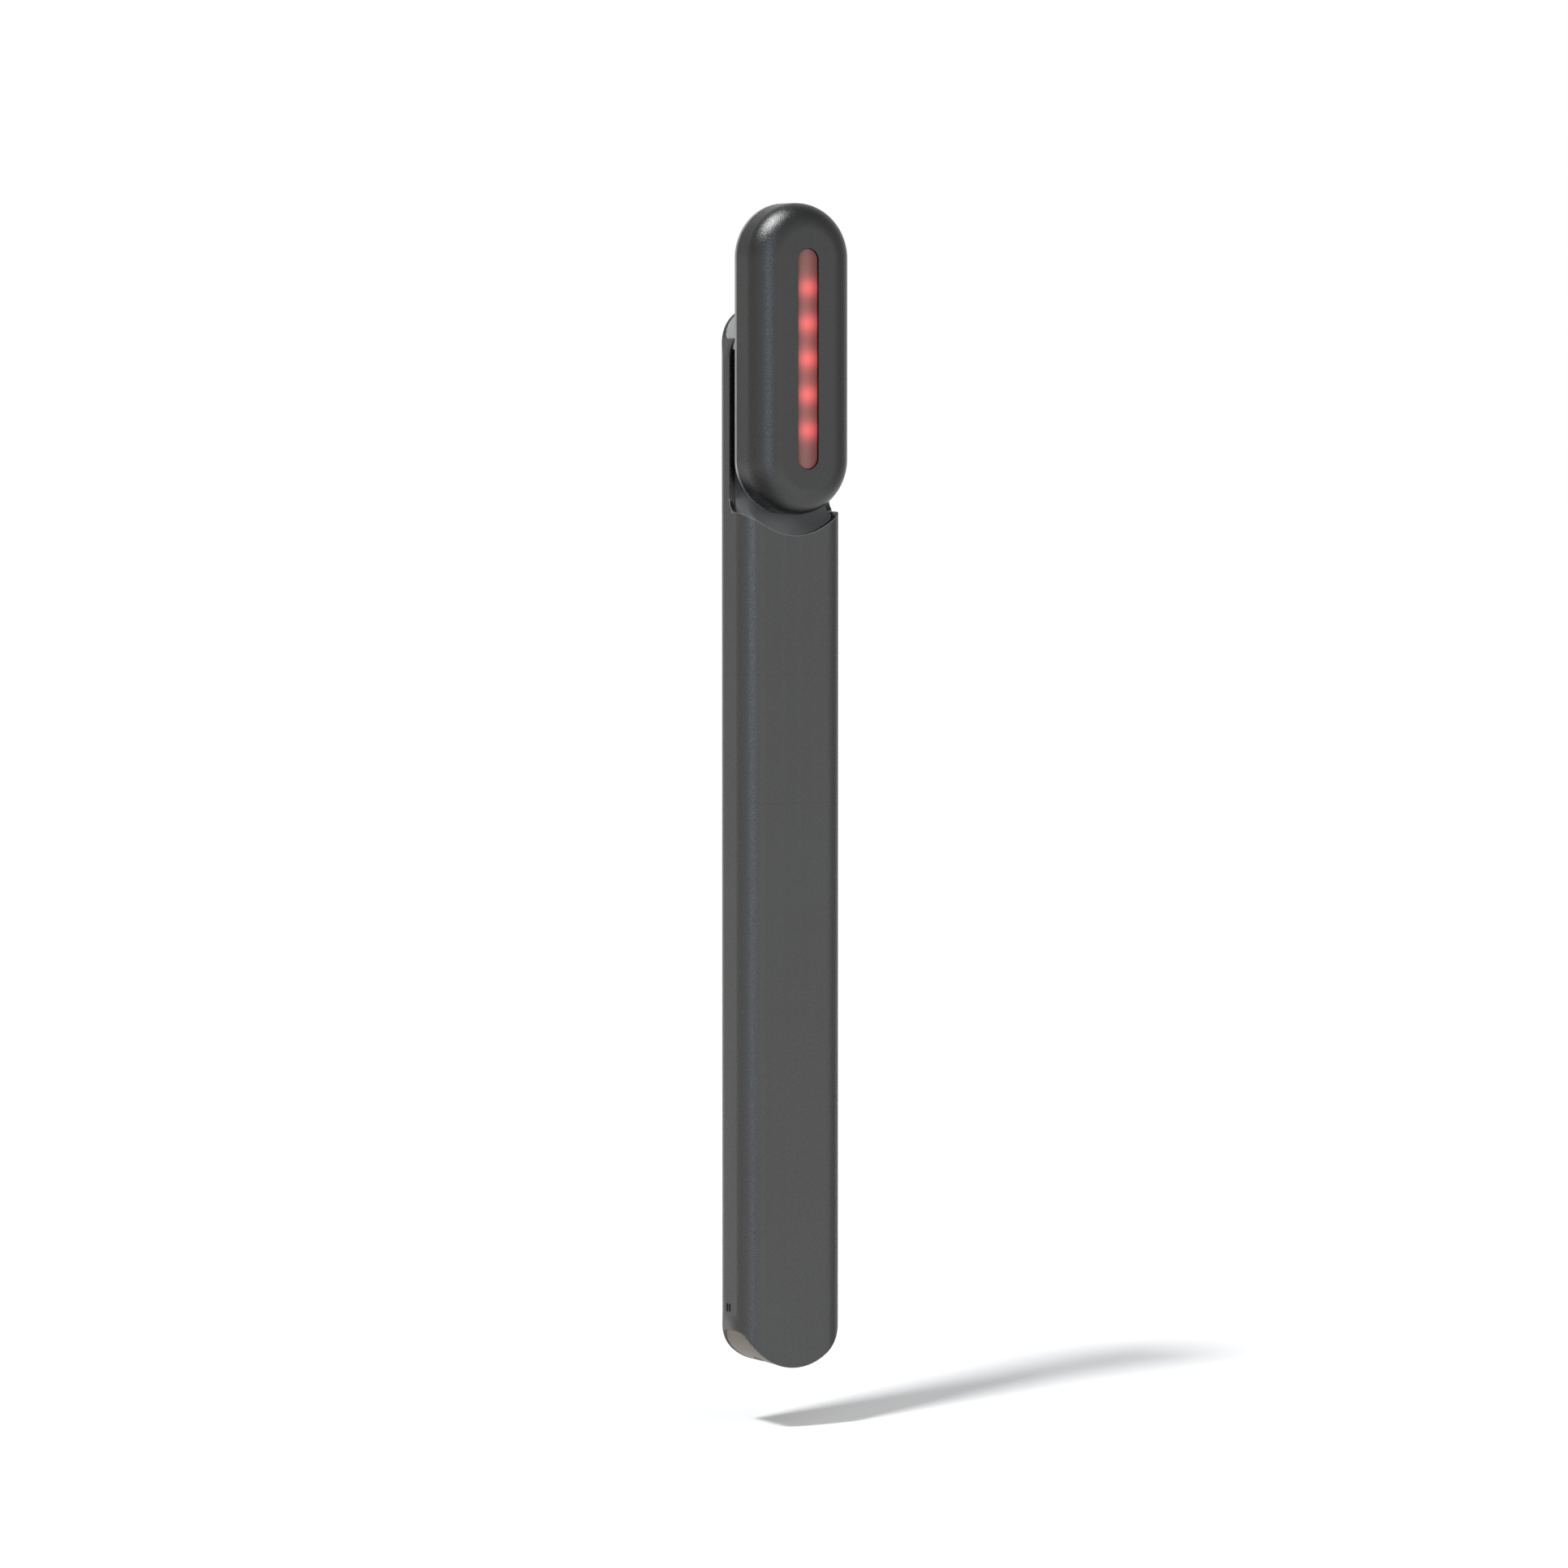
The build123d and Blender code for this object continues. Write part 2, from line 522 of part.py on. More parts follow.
def chassis():
    """Channel with its floor at the back, open to the front and closed by a top wall."""
    body = upright(tube_section(SLIDE_FIT), CHASSIS_LOW_Z, CHASSIS_TOP_Z)
    bay = (CHASSIS_LOW_Z - OVERRUN, BAY_TOP_Z)
    body -= block(about(0, BAY_WIDTH), (-TUBE_DEPTH, FLOOR_Y), bay)
    for wall in chassis_walls():
        body += wall
    body -= ribbon_channel(RIBBON_Y - SLIDE_FIT, TOP_Z)
    tail_z = about(RIBBON_LOW_Z + RIBBON_THICKNESS / 2, RIBBON_THICKNESS + 2 * SLIDE_FIT)
    body -= block(about(0, RIBBON_WIDTH + 2 * SLIDE_FIT), (-TUBE_DEPTH, TUBE_DEPTH), tail_z)
    lead_width = 2 * (MOTOR_LEAD_SPREAD + MOTOR_LEAD_RADIUS + SLIDE_FIT)
    lead_height = 2 * (MOTOR_LEAD_RADIUS + SLIDE_FIT)
    body -= block(about(0, lead_width), (FLOOR_Y, TUBE_DEPTH), about(MOTOR_LEAD_Z, lead_height))
    for x, z in board_screw_places():
        body -= disc(SCREW_RADIUS + TIGHT_FIT, -TUBE_DEPTH, TUBE_DEPTH, x, z)
    for hole in foot_screw_holes(BAY_TOP_Z - OVERRUN, CHASSIS_TOP_Z + OVERRUN):
        body -= hole
    notch_y = about(INDICATOR_Y, INDICATOR_PITCH + INDICATOR_WIDTH + 2 * SLIDE_FIT)
    notch_z = about(INDICATOR_Z, INDICATOR_HEIGHT + 2 * SLIDE_FIT)
    return body - block((-TUBE_WIDTH, -BOARD_WIDTH / 2), notch_y, notch_z)


def main_board():
    board = block(about(0, BOARD_WIDTH), (BOARD_FRONT_Y, FLOOR_Y), (BOARD_LOW_Z, BOARD_TOP_Z))
    for x, z in board_screw_places():
        board -= disc(SCREW_RADIUS + SLIDE_FIT, -TUBE_DEPTH, TUBE_DEPTH, x, z)
    return board


def board_chips():
    """Controller, charger, coil and connectors on the front of the main board."""
    chips = []
    for across, along, width, length, height in CHIP_SHARES:
        middle_z = BOARD_LOW_Z + along * BOARD_LENGTH
        chips.append(
            block(
                about(across * BOARD_WIDTH, width * BOARD_WIDTH),
                (BOARD_FRONT_Y - height * CHIP_HEIGHT, BOARD_FRONT_Y),
                about(middle_z, length * BOARD_LENGTH),
            )
        )
    return chips


def indicator_leds():
    """Two side lights on the board, against the inner ends of the light bars."""
    low_x = -BOARD_WIDTH / 2 + FIT
    depth = (BOARD_FRONT_Y - INDICATOR_LED_HEIGHT, BOARD_FRONT_Y)
    lights = []
    for side in (-1, 1):
        middle_z = INDICATOR_Z + side * (INDICATOR_LED_SIZE + FIT) / 2
        height = about(middle_z, INDICATOR_LED_SIZE)
        lights.append(block((low_x, low_x + INDICATOR_LED_SIZE), depth, height))
    return lights


def socket_span():
    """Heights of the socket shell, whose mouth lies just inside the round end of the cap."""
    end_radius = TUBE_WIDTH / 2 - CAP_INSET
    end_drop = end_radius - math.sqrt(end_radius**2 - (SOCKET_WIDTH / 2) ** 2)
    low_z = BOTTOM_Z + CAP_INSET + end_drop + SOCKET_INSET
    return (low_z, low_z + SOCKET_LENGTH)


def socket_shell():
    """Drawn metal shell of the charging socket."""
    low_z, high_z = socket_span()
    shell = upright(socket_outline(), low_z, high_z)
    return shell - upright(socket_outline(SOCKET_WALL), low_z - OVERRUN, high_z + OVERRUN)


def socket_tongue():
    """Contact tongue of the charging socket, on the base that closes the shell."""
    high_z = socket_span()[1]
    tongue = upright(socket_outline(SOCKET_WALL + TIGHT_FIT), high_z - SOCKET_BASE, high_z)
    return tongue + block(
        about(0, SOCKET_TONGUE_WIDTH),
        about(SOCKET_Y, SOCKET_TONGUE_DEPTH),
        (high_z - SOCKET_TONGUE_LENGTH, high_z - SOCKET_BASE + FIT),
    )


def battery_cell():
    """Pouch cell with rounded long edges."""
    cell = block(
        about(0, BATTERY_WIDTH), (BATTERY_FRONT_Y, BATTERY_BACK_Y), (BATTERY_LOW_Z, BATTERY_TOP_Z)
    )
    return fillet(cell.edges().filter_by(Axis.Z), BATTERY_ROUND)


def battery_pad():
    """Foam strip between the cell and the chassis floor."""
    width = BATTERY_WIDTH - 2 * BATTERY_ROUND
    return block(about(0, width), (BATTERY_BACK_Y, FLOOR_Y), (BATTERY_LOW_Z, BATTERY_TOP_Z))


def bent_lead(start, corner, end, radius, bend):
    """Round wire along two straight runs with a tangent bend between them."""
    path = FilletPolyline(start, corner, end, radius=bend)
    plane = Plane(origin=start, z_dir=path % 0)
    return sweep(plane * Circle(radius), path=path)


def battery_leads():
    """Two wires from the lower end of the cell to the front of the board."""
    y = (BATTERY_FRONT_Y + BATTERY_BACK_Y) / 2
    z = BOARD_TOP_Z - LEAD_LANDING
    leads = []
    for side in (-1, 1):
        x = side * LEAD_SPREAD
        leads.append(
            bent_lead((x, y, BATTERY_LOW_Z), (x, y, z), (x, BOARD_FRONT_Y, z), LEAD_RADIUS, LEAD_BEND)
        )
    return leads


def motor_can():
    can = upright(Pos(0, MOTOR_Y) * Circle(MOTOR_RADIUS), MOTOR_LOW_Z, MOTOR_TOP_Z)
    can += upright(Pos(0, MOTOR_Y) * Circle(MOTOR_NOSE_RADIUS), MOTOR_TOP_Z, NOSE_TOP_Z)
    bore = Pos(0, MOTOR_Y) * Circle(MOTOR_SHAFT_RADIUS + SHAFT_FIT)
    return can - upright(bore, NOSE_TOP_Z - MOTOR_SHAFT_SEAT, NOSE_TOP_Z + OVERRUN)


def motor_boot():
    """Rubber boot round the motor, with a flat foot on the chassis floor."""
    outline = Pos(0, MOTOR_Y) * Circle(MOTOR_RADIUS + MOTOR_BOOT)
    outline += Pos(0, (MOTOR_Y + FLOOR_Y) / 2) * Rectangle(MOTOR_BOOT_FOOT, FLOOR_Y - MOTOR_Y)
    outline -= Pos(0, MOTOR_Y) * Circle(MOTOR_RADIUS)
    return upright(outline, MOTOR_LOW_Z + MOTOR_BOOT_INSET, MOTOR_TOP_Z - MOTOR_BOOT_INSET)


def motor_leads():
    """Two fine wires from the motor, through the floor, to the flat cable behind it."""
    leads = []
    for side in (-1, 1):
        x = side * MOTOR_LEAD_SPREAD
        leads.append(
            bent_lead(
                (x, MOTOR_Y, MOTOR_LOW_Z),
                (x, MOTOR_Y, MOTOR_LEAD_Z),
                (x, RIBBON_Y, MOTOR_LEAD_Z),
                MOTOR_LEAD_RADIUS,
                MOTOR_LEAD_BEND,
            )
        )
    return leads


def motor_shaft():
    return upright(Pos(0, MOTOR_Y) * Circle(MOTOR_SHAFT_RADIUS), SHAFT_LOW_Z, SHAFT_TOP_Z)


def eccentric_weight():
    """Half round weight with a hub, pressed on the motor shaft."""
    side = 2 * WEIGHT_RADIUS
    half = Circle(WEIGHT_RADIUS) & Pos(WEIGHT_RADIUS, 0) * Rectangle(side, side)
    outline = half + Circle(WEIGHT_HUB_RADIUS) - Circle(MOTOR_SHAFT_RADIUS)
    return upright(Pos(0, MOTOR_Y) * outline, WEIGHT_LOW_Z, WEIGHT_LOW_Z + WEIGHT_LENGTH)


def screw(head_radius, head_height, radius, length):
    """Cap screw pointing down -Z from the underside of its head, with a hexagon socket."""
    head = upright(Circle(head_radius), 0, head_height)
    drive_radius = head_radius * SCREW_DRIVE_SHARE
    drive = RegularPolygon(drive_radius, 6)
    head -= upright(drive, head_height * SCREW_DRIVE_SHARE, head_height + OVERRUN)
    return head + upright(Circle(radius), -length, 0)


def board_screws():
    """Screws through the main board into the chassis floor."""
    body = screw(SCREW_HEAD_RADIUS, SCREW_HEAD_HEIGHT, SCREW_RADIUS, BOARD_THICKNESS + FLOOR_SCREW_BITE)
    turned = Rot(90, 0, 0) * body
    return [Pos(x, BOARD_FRONT_Y, z) * turned for x, z in board_screw_places()]


def insert_screws():
    """Screws through the chassis end wall into the foot of the insert."""
    length = CHASSIS_END_WALL + FOOT_SCREW_BITE
    turned = Rot(180, 0, 0) * screw(SCREW_HEAD_RADIUS, SCREW_HEAD_HEIGHT, SCREW_RADIUS, length)
    return [Pos(side * SCREW_SIDE, 0, BAY_TOP_Z) * turned for side in (-1, 1)]


def head_cable():
    """Flat cable behind the chassis, with a tail to the board and a stem on the swivel axis."""
    top_z = PIVOT_Z + RIBBON_STEM_RADIUS
    width = about(0, RIBBON_WIDTH)
    cable = block(width, (RIBBON_Y, RIBBON_BACK_Y), (RIBBON_LOW_Z, top_z))
    cable += block(width, (FLOOR_Y, RIBBON_BACK_Y), (RIBBON_LOW_Z, RIBBON_LOW_Z + RIBBON_THICKNESS))
    return cable + disc(RIBBON_STEM_RADIUS, FLANGE_FRONT_Y, RIBBON_BACK_Y)


def turn_sensor():
    """Magnetic sensor on the flat cable, under the magnet in the head."""
    return block(
        about(0, SENSOR_WIDTH),
        (SENSOR_FRONT_Y, RIBBON_Y),
        about(PIVOT_Z - MAGNET_REACH, SENSOR_LENGTH),
    )


def pivot_bush():
    bush = disc(BUSH_FLANGE_RADIUS, BUSH_FRONT_Y, BOSS_FRONT_Y)
    bush += disc(BUSH_RADIUS, BUSH_FRONT_Y, BUSH_BACK_Y)
    return bush - disc(BUSH_BORE_RADIUS, -TUBE_DEPTH, TUBE_DEPTH)


def friction_washer():
    ring = disc(WASHER_RADIUS, WASHER_FRONT_Y, BUSH_FRONT_Y)
    return ring - disc(BUSH_BORE_RADIUS, -TUBE_DEPTH, TUBE_DEPTH)


def stop_pin():
    """Pin in the insert that runs in the half round slot of the head's back plate."""
    front_y = PLATE_FRONT_Y + STOP_PIN_SETBACK
    return disc(STOP_PIN_RADIUS, front_y, SENSOR_FRONT_Y - FIT, z=PIVOT_Z - STOP_PIN_REACH)


def head_shell():
    """Stadium shaped metal shell with a rounded front edge and the window slot."""
    shell = slab(stadium(HEAD_LENGTH, HEAD_WIDTH), HEAD_FRONT_Y, PLATE_FRONT_Y)
    shell = fillet(edges_at(shell, Axis.Y, HEAD_FRONT_Y), HEAD_EDGE_ROUND)
    cavity = slab(stadium(CAVITY_LENGTH, CAVITY_WIDTH), CAVITY_FRONT_Y, PLATE_FRONT_Y)
    cavity = fillet(edges_at(cavity, Axis.Y, CAVITY_FRONT_Y), HEAD_EDGE_ROUND - HEAD_WALL)
    shell -= cavity
    shell -= slab(stadium(WINDOW_LENGTH, WINDOW_WIDTH), HEAD_FRONT_Y - OVERRUN, PLATE_FRONT_Y)
    rim = [
        edge
        for edge in edges_at(shell, Axis.Y, HEAD_FRONT_Y)
        if abs(edge.center().X) < WINDOW_WIDTH and abs(edge.center().Z - PIVOT_Z) < WINDOW_LENGTH / 2
    ]
    return chamfer(rim, WINDOW_EDGE_BREAK)


def head_back_plate():
    """Thin plate behind the shell, with the shaft hole and the half round stop slot."""
    plate = slab(stadium(HEAD_LENGTH, HEAD_WIDTH), PLATE_FRONT_Y, HEAD_BACK_Y)
    plate = chamfer(edges_at(plate, Axis.Y, HEAD_BACK_Y), BACK_PLATE_EDGE_BREAK)
    plate -= disc(SHAFT_RADIUS + TIGHT_FIT, -TUBE_DEPTH, TUBE_DEPTH)
    half_width = STOP_PIN_RADIUS + STOP_SLOT_CLEARANCE
    outer = STOP_PIN_REACH + half_width
    ring = disc(outer, -TUBE_DEPTH, TUBE_DEPTH)
    ring -= disc(STOP_PIN_REACH - half_width, -TUBE_DEPTH, TUBE_DEPTH)
    plate -= ring & block((-outer, outer), (-TUBE_DEPTH, TUBE_DEPTH), (PIVOT_Z - outer, PIVOT_Z))
    for side in (-1, 1):
        plate -= disc(half_width, -TUBE_DEPTH, TUBE_DEPTH, x=side * STOP_PIN_REACH)
    for x, z in pivot_screw_places():
        plate -= disc(SMALL_SCREW_RADIUS + TIGHT_FIT, -TUBE_DEPTH, TUBE_DEPTH, x, z)
    return plate


def pivot_screw_places():
    """Screw places on a circle round the swivel axis, the first straight up."""
    places = []
    for index in range(PIVOT_SCREW_COUNT):
        angle = math.tau * index / PIVOT_SCREW_COUNT
        x = PIVOT_SCREW_CIRCLE * math.sin(angle)
        places.append((x, PIVOT_Z + PIVOT_SCREW_CIRCLE * math.cos(angle)))
    return places


def pivot_shaft():
    """Hollow shaft with a flange inside the head and a groove for the clip."""
    shaft = disc(SHAFT_FLANGE_RADIUS, FLANGE_FRONT_Y, PLATE_FRONT_Y)
    shaft += disc(SHAFT_RADIUS, FLANGE_FRONT_Y, SHAFT_BACK_Y)
    groove = disc(CLIP_RADIUS, CLIP_FRONT_Y, CLIP_BACK_Y)
    shaft -= groove - disc(SHAFT_RADIUS - CLIP_GROOVE_DEPTH, CLIP_FRONT_Y, CLIP_BACK_Y)
    shaft -= disc(SHAFT_BORE_RADIUS, -TUBE_DEPTH, TUBE_DEPTH)
    for x, z in pivot_screw_places():
        shaft -= disc(SMALL_SCREW_RADIUS + TIGHT_FIT, FLANGE_FRONT_Y, PLATE_FRONT_Y, x, z)
    return shaft


def retaining_clip():
    """Open ring in the shaft groove, behind the insert."""
    ring = disc(CLIP_RADIUS, CLIP_FRONT_Y, CLIP_BACK_Y)
    ring -= disc(SHAFT_RADIUS - CLIP_GROOVE_DEPTH, CLIP_FRONT_Y, CLIP_BACK_Y)
    mouth = (PIVOT_Z, PIVOT_Z + CLIP_RADIUS + OVERRUN)
    return ring - block(about(0, CLIP_MOUTH), (-TUBE_DEPTH, TUBE_DEPTH), mouth)


def pivot_screws():
    """Small screws that hold the shaft flange to the back plate, from inside the head."""
    length = SHAFT_FLANGE_THICKNESS + BACK_PLATE_THICKNESS - PIVOT_SCREW_SETBACK
    body = screw(SMALL_SCREW_HEAD_RADIUS, SMALL_SCREW_HEAD_HEIGHT, SMALL_SCREW_RADIUS, length)
    turned = Rot(90, 0, 0) * body
    return [Pos(x, FLANGE_FRONT_Y, z) * turned for x, z in pivot_screw_places()]


def window_lens():
    """Diffuser bar that stands in the slot, with a flange behind it."""
    bar = stadium(WINDOW_LENGTH - 2 * FIT, WINDOW_WIDTH - 2 * FIT)
    lens = slab(bar, HEAD_FRONT_Y + LENS_RECESS, LENS_FLANGE_Y)
    return lens + slab(stadium(LENS_LENGTH, LENS_WIDTH), LENS_FLANGE_Y, LENS_BACK_Y)


def window_seal():
    ring = stadium(LENS_LENGTH, LENS_WIDTH)
    ring -= stadium(WINDOW_LENGTH + 2 * SEAL_INNER_MARGIN, WINDOW_WIDTH + 2 * SEAL_INNER_MARGIN)
    return slab(ring, CAVITY_FRONT_Y, LENS_FLANGE_Y)


def light_reflector():
    """White frame between the light board and the lens."""
    frame = stadium(LENS_LENGTH + 2 * REFLECTOR_LIP, LENS_WIDTH + 2 * REFLECTOR_LIP)
    frame -= stadium(WINDOW_LENGTH, WINDOW_WIDTH)
    return slab(frame, LENS_BACK_Y, LED_BOARD_FRONT_Y)


def led_board():
    return slab(stadium(LED_BOARD_LENGTH, LED_BOARD_WIDTH), LED_BOARD_FRONT_Y, LED_BOARD_BACK_Y)


def led(index):
    """One light with a round cup in its face, on the centre line of the board."""
    z = PIVOT_Z + (index - (LED_COUNT - 1) / 2) * LED_PITCH
    front_y = LED_BOARD_FRONT_Y - LED_HEIGHT
    body = block(about(0, LED_SIZE), (front_y, LED_BOARD_FRONT_Y), about(z, LED_SIZE))
    return body - disc(LED_CUP_RADIUS, front_y, front_y + LED_CUP_DEPTH, z=z)


def driver_chips():
    """Driver and resistors on the back of the light board."""
    depth = (LED_BOARD_BACK_Y, LED_BOARD_BACK_Y + DRIVER_CHIP_HEIGHT)
    chips = []
    for along, across, length, width in DRIVER_CHIP_SHARES:
        chips.append(
            block(
                about(across * LED_BOARD_WIDTH, width * LED_BOARD_WIDTH),
                depth,
                about(PIVOT_Z + along * LED_BOARD_LENGTH, length * LED_BOARD_LENGTH),
            )
        )
    return chips


def head_carrier():
    """Ring that fills the shell behind the light board, with a bridge each side of the pivot."""
    ring = slab(
        stadium(CAVITY_LENGTH - 2 * FIT, CAVITY_WIDTH - 2 * FIT), LED_BOARD_FRONT_Y, PLATE_FRONT_Y
    )
    seat = stadium(LED_BOARD_LENGTH + 2 * FIT, LED_BOARD_WIDTH + 2 * FIT)
    ring -= slab(seat, LED_BOARD_FRONT_Y, LED_BOARD_BACK_Y)
    hollow = stadium(LED_BOARD_LENGTH - 2 * CARRIER_LEDGE, LED_BOARD_WIDTH - 2 * CARRIER_LEDGE)
    ring -= slab(hollow, LED_BOARD_BACK_Y, PLATE_FRONT_Y)
    for side in (-1, 1):
        middle_z = PIVOT_Z + side * MAGNET_REACH
        depth = (PLATE_FRONT_Y - BRIDGE_DEPTH, PLATE_FRONT_Y)
        ring += block(about(0, LED_BOARD_WIDTH), depth, about(middle_z, BRIDGE_WIDTH))
    magnet_z = PIVOT_Z - MAGNET_REACH
    front_y = PLATE_FRONT_Y - MAGNET_THICKNESS - FIT
    return ring - disc(MAGNET_RADIUS + TIGHT_FIT, front_y, PLATE_FRONT_Y, z=magnet_z)


def head_magnet():
    front_y = PLATE_FRONT_Y - MAGNET_THICKNESS
    return disc(MAGNET_RADIUS, front_y, PLATE_FRONT_Y, z=PIVOT_Z - MAGNET_REACH)


def head_plug():
    """Connector on the back of the light board that meets the cable stem on the axis."""
    size = about(0, PLUG_WIDTH)
    plug_back_y = LED_BOARD_BACK_Y + PLUG_HEIGHT
    plug = block(size, (LED_BOARD_BACK_Y, plug_back_y), about(PIVOT_Z, PLUG_WIDTH))
    return plug + disc(RIBBON_STEM_RADIUS, plug_back_y, FLANGE_FRONT_Y - RUN_FIT)


def electrode_pins():
    """Sprung pins that join the light board to the metal shell."""
    pins = []
    for side in (-1, 1):
        z = PIVOT_Z + side * PIN_REACH
        barrel_front_y = LED_BOARD_FRONT_Y - PIN_BARREL_HEIGHT
        pin = disc(PIN_BARREL_RADIUS, barrel_front_y, LED_BOARD_FRONT_Y, z=z)
        pins.append(pin + disc(PIN_PLUNGER_RADIUS, CAVITY_FRONT_Y, barrel_front_y, z=z))
    return pins


def heat_films():
    """Warming strips on the inside of the front wall, one each side of the lens."""
    flat = CAVITY_WIDTH / 2 - (HEAD_EDGE_ROUND - HEAD_WALL) - LENS_WIDTH / 2
    middle_x = (LENS_WIDTH + flat) / 2
    depth = (CAVITY_FRONT_Y, CAVITY_FRONT_Y + FILM_THICKNESS)
    return [
        block(about(side * middle_x, FILM_WIDTH), depth, about(PIVOT_Z, FILM_LENGTH))
        for side in (-1, 1)
    ]


def nodes():
    """Every separate piece by its node name; a list is a group of like pieces."""
    pieces = {
        "handle_tube": handle_tube(),
        "bottom_cap": bottom_cap(),
        "top_cap": top_cap(),
        "cradle_insert": cradle_insert(),
        "chassis": chassis(),
        "main_board": main_board(),
        "board_chips": board_chips(),
        "board_screws": board_screws(),
        "indicator_leds": indicator_leds(),
        "indicator_bars": indicator_bars(),
        "socket_shell": socket_shell(),
        "socket_tongue": socket_tongue(),
        "battery_cell": battery_cell(),
        "battery_pad": battery_pad(),
        "battery_leads": battery_leads(),
        "motor_can": motor_can(),
        "motor_boot": motor_boot(),
        "motor_leads": motor_leads(),
        "motor_shaft": motor_shaft(),
        "eccentric_weight": eccentric_weight(),
        "insert_screws": insert_screws(),
        "head_cable": head_cable(),
        "turn_sensor": turn_sensor(),
        "pivot_bush": pivot_bush(),
        "friction_washer": friction_washer(),
        "stop_pin": stop_pin(),
        "head_shell": head_shell(),
        "head_back_plate": head_back_plate(),
        "head_carrier": head_carrier(),
        "head_magnet": head_magnet(),
        "head_plug": head_plug(),
        "pivot_shaft": pivot_shaft(),
        "pivot_screws": pivot_screws(),
        "retaining_clip": retaining_clip(),
        "window_lens": window_lens(),
        "window_seal": window_seal(),
        "light_reflector": light_reflector(),
        "led_board": led_board(),
        "driver_chips": driver_chips(),
        "electrode_pins": electrode_pins(),
        "heat_films": heat_films(),
    }
    for index in range(LED_COUNT):
        pieces[f"led_{index + 1}"] = led(index)
    return pieces


os.makedirs("parts", exist_ok=True)
for name, piece in nodes().items():
    solids = piece if isinstance(piece, list) else [piece]
    solids = [solid for shape in solids for solid in shape.solids()]
    shape = solids[0] if len(solids) == 1 else Compound(children=solids)
    export_step(shape, f"parts/{name}.step")
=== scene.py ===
"""Red light therapy wand: its visible pieces, their finishes and the studio.

They stand round the CAD frame. Sizes are properties in metres. Pieces are modelled in
millimetres, so that fine bevels keep their precision, and are brought to metres when they
are finished.
"""
import json
import math
from contextlib import contextmanager
from types import SimpleNamespace

import bmesh
import bpy
from bpy.props import FloatProperty, FloatVectorProperty, PointerProperty
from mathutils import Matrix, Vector


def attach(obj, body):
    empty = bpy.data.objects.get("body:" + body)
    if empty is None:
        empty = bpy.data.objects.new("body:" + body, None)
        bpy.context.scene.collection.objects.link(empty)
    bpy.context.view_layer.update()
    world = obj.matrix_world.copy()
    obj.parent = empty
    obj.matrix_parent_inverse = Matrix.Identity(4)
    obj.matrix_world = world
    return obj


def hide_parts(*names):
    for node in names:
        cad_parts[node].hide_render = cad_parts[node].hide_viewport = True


bl_info = {
    "name": "Light Therapy Wand",
    "version": (1, 0, 0),
    "blender": (4, 5, 0),
    "location": "View3D > Sidebar > Wand",
    "description": "Builds a handheld red light wand with a swivelling head on its CAD frame",
    "category": "Add Mesh",
}

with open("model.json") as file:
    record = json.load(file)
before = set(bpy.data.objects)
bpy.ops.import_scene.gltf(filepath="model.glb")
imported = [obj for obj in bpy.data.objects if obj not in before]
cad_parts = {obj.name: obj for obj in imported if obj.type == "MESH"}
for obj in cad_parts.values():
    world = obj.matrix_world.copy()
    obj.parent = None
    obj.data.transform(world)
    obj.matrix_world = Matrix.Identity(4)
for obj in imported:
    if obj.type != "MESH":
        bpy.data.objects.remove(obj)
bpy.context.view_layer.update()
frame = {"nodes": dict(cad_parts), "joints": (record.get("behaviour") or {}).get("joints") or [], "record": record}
PIVOT_Z = frame["joints"][0]["pos_m"][2]

PER_METRE = 1000.0
SAME_PLACE = 1e-3
X, Y, Z = range(3)

FLANK_ANGLE = math.radians(30)
SHARP_ANGLE = math.radians(40)
SCOOP_SHARP_ANGLE = math.radians(35)
ARC_STEP = math.radians(2.5)

CORNER_STEPS = 16
ROUND_END_STEPS = 32
DISC_STEPS = 96
CRADLE_ROUND_STEPS = 12
HEAD_ROUND_STEPS = 18
LENS_END_STEPS = 20
CROWN_STEPS = 9
BAR_END_STEPS = 8
BREAK_STEPS = 2
BAR_BREAK_STEPS = 3
FACE_WEIGHT = 100

LIGHTS = 5
FLANGE_SCREWS = 3


def length(name, description, millimetres):
    """A size property, given in millimetres and kept in metres."""
    return FloatProperty(
        name=name,
        description=description,
        default=millimetres / PER_METRE,
        unit="LENGTH",
        precision=5,
    )


def colour(name, description, *rgb):
    """A colour property."""
    return FloatVectorProperty(
        name=name, description=description, default=rgb, subtype="COLOR", size=3, min=0, max=1
    )


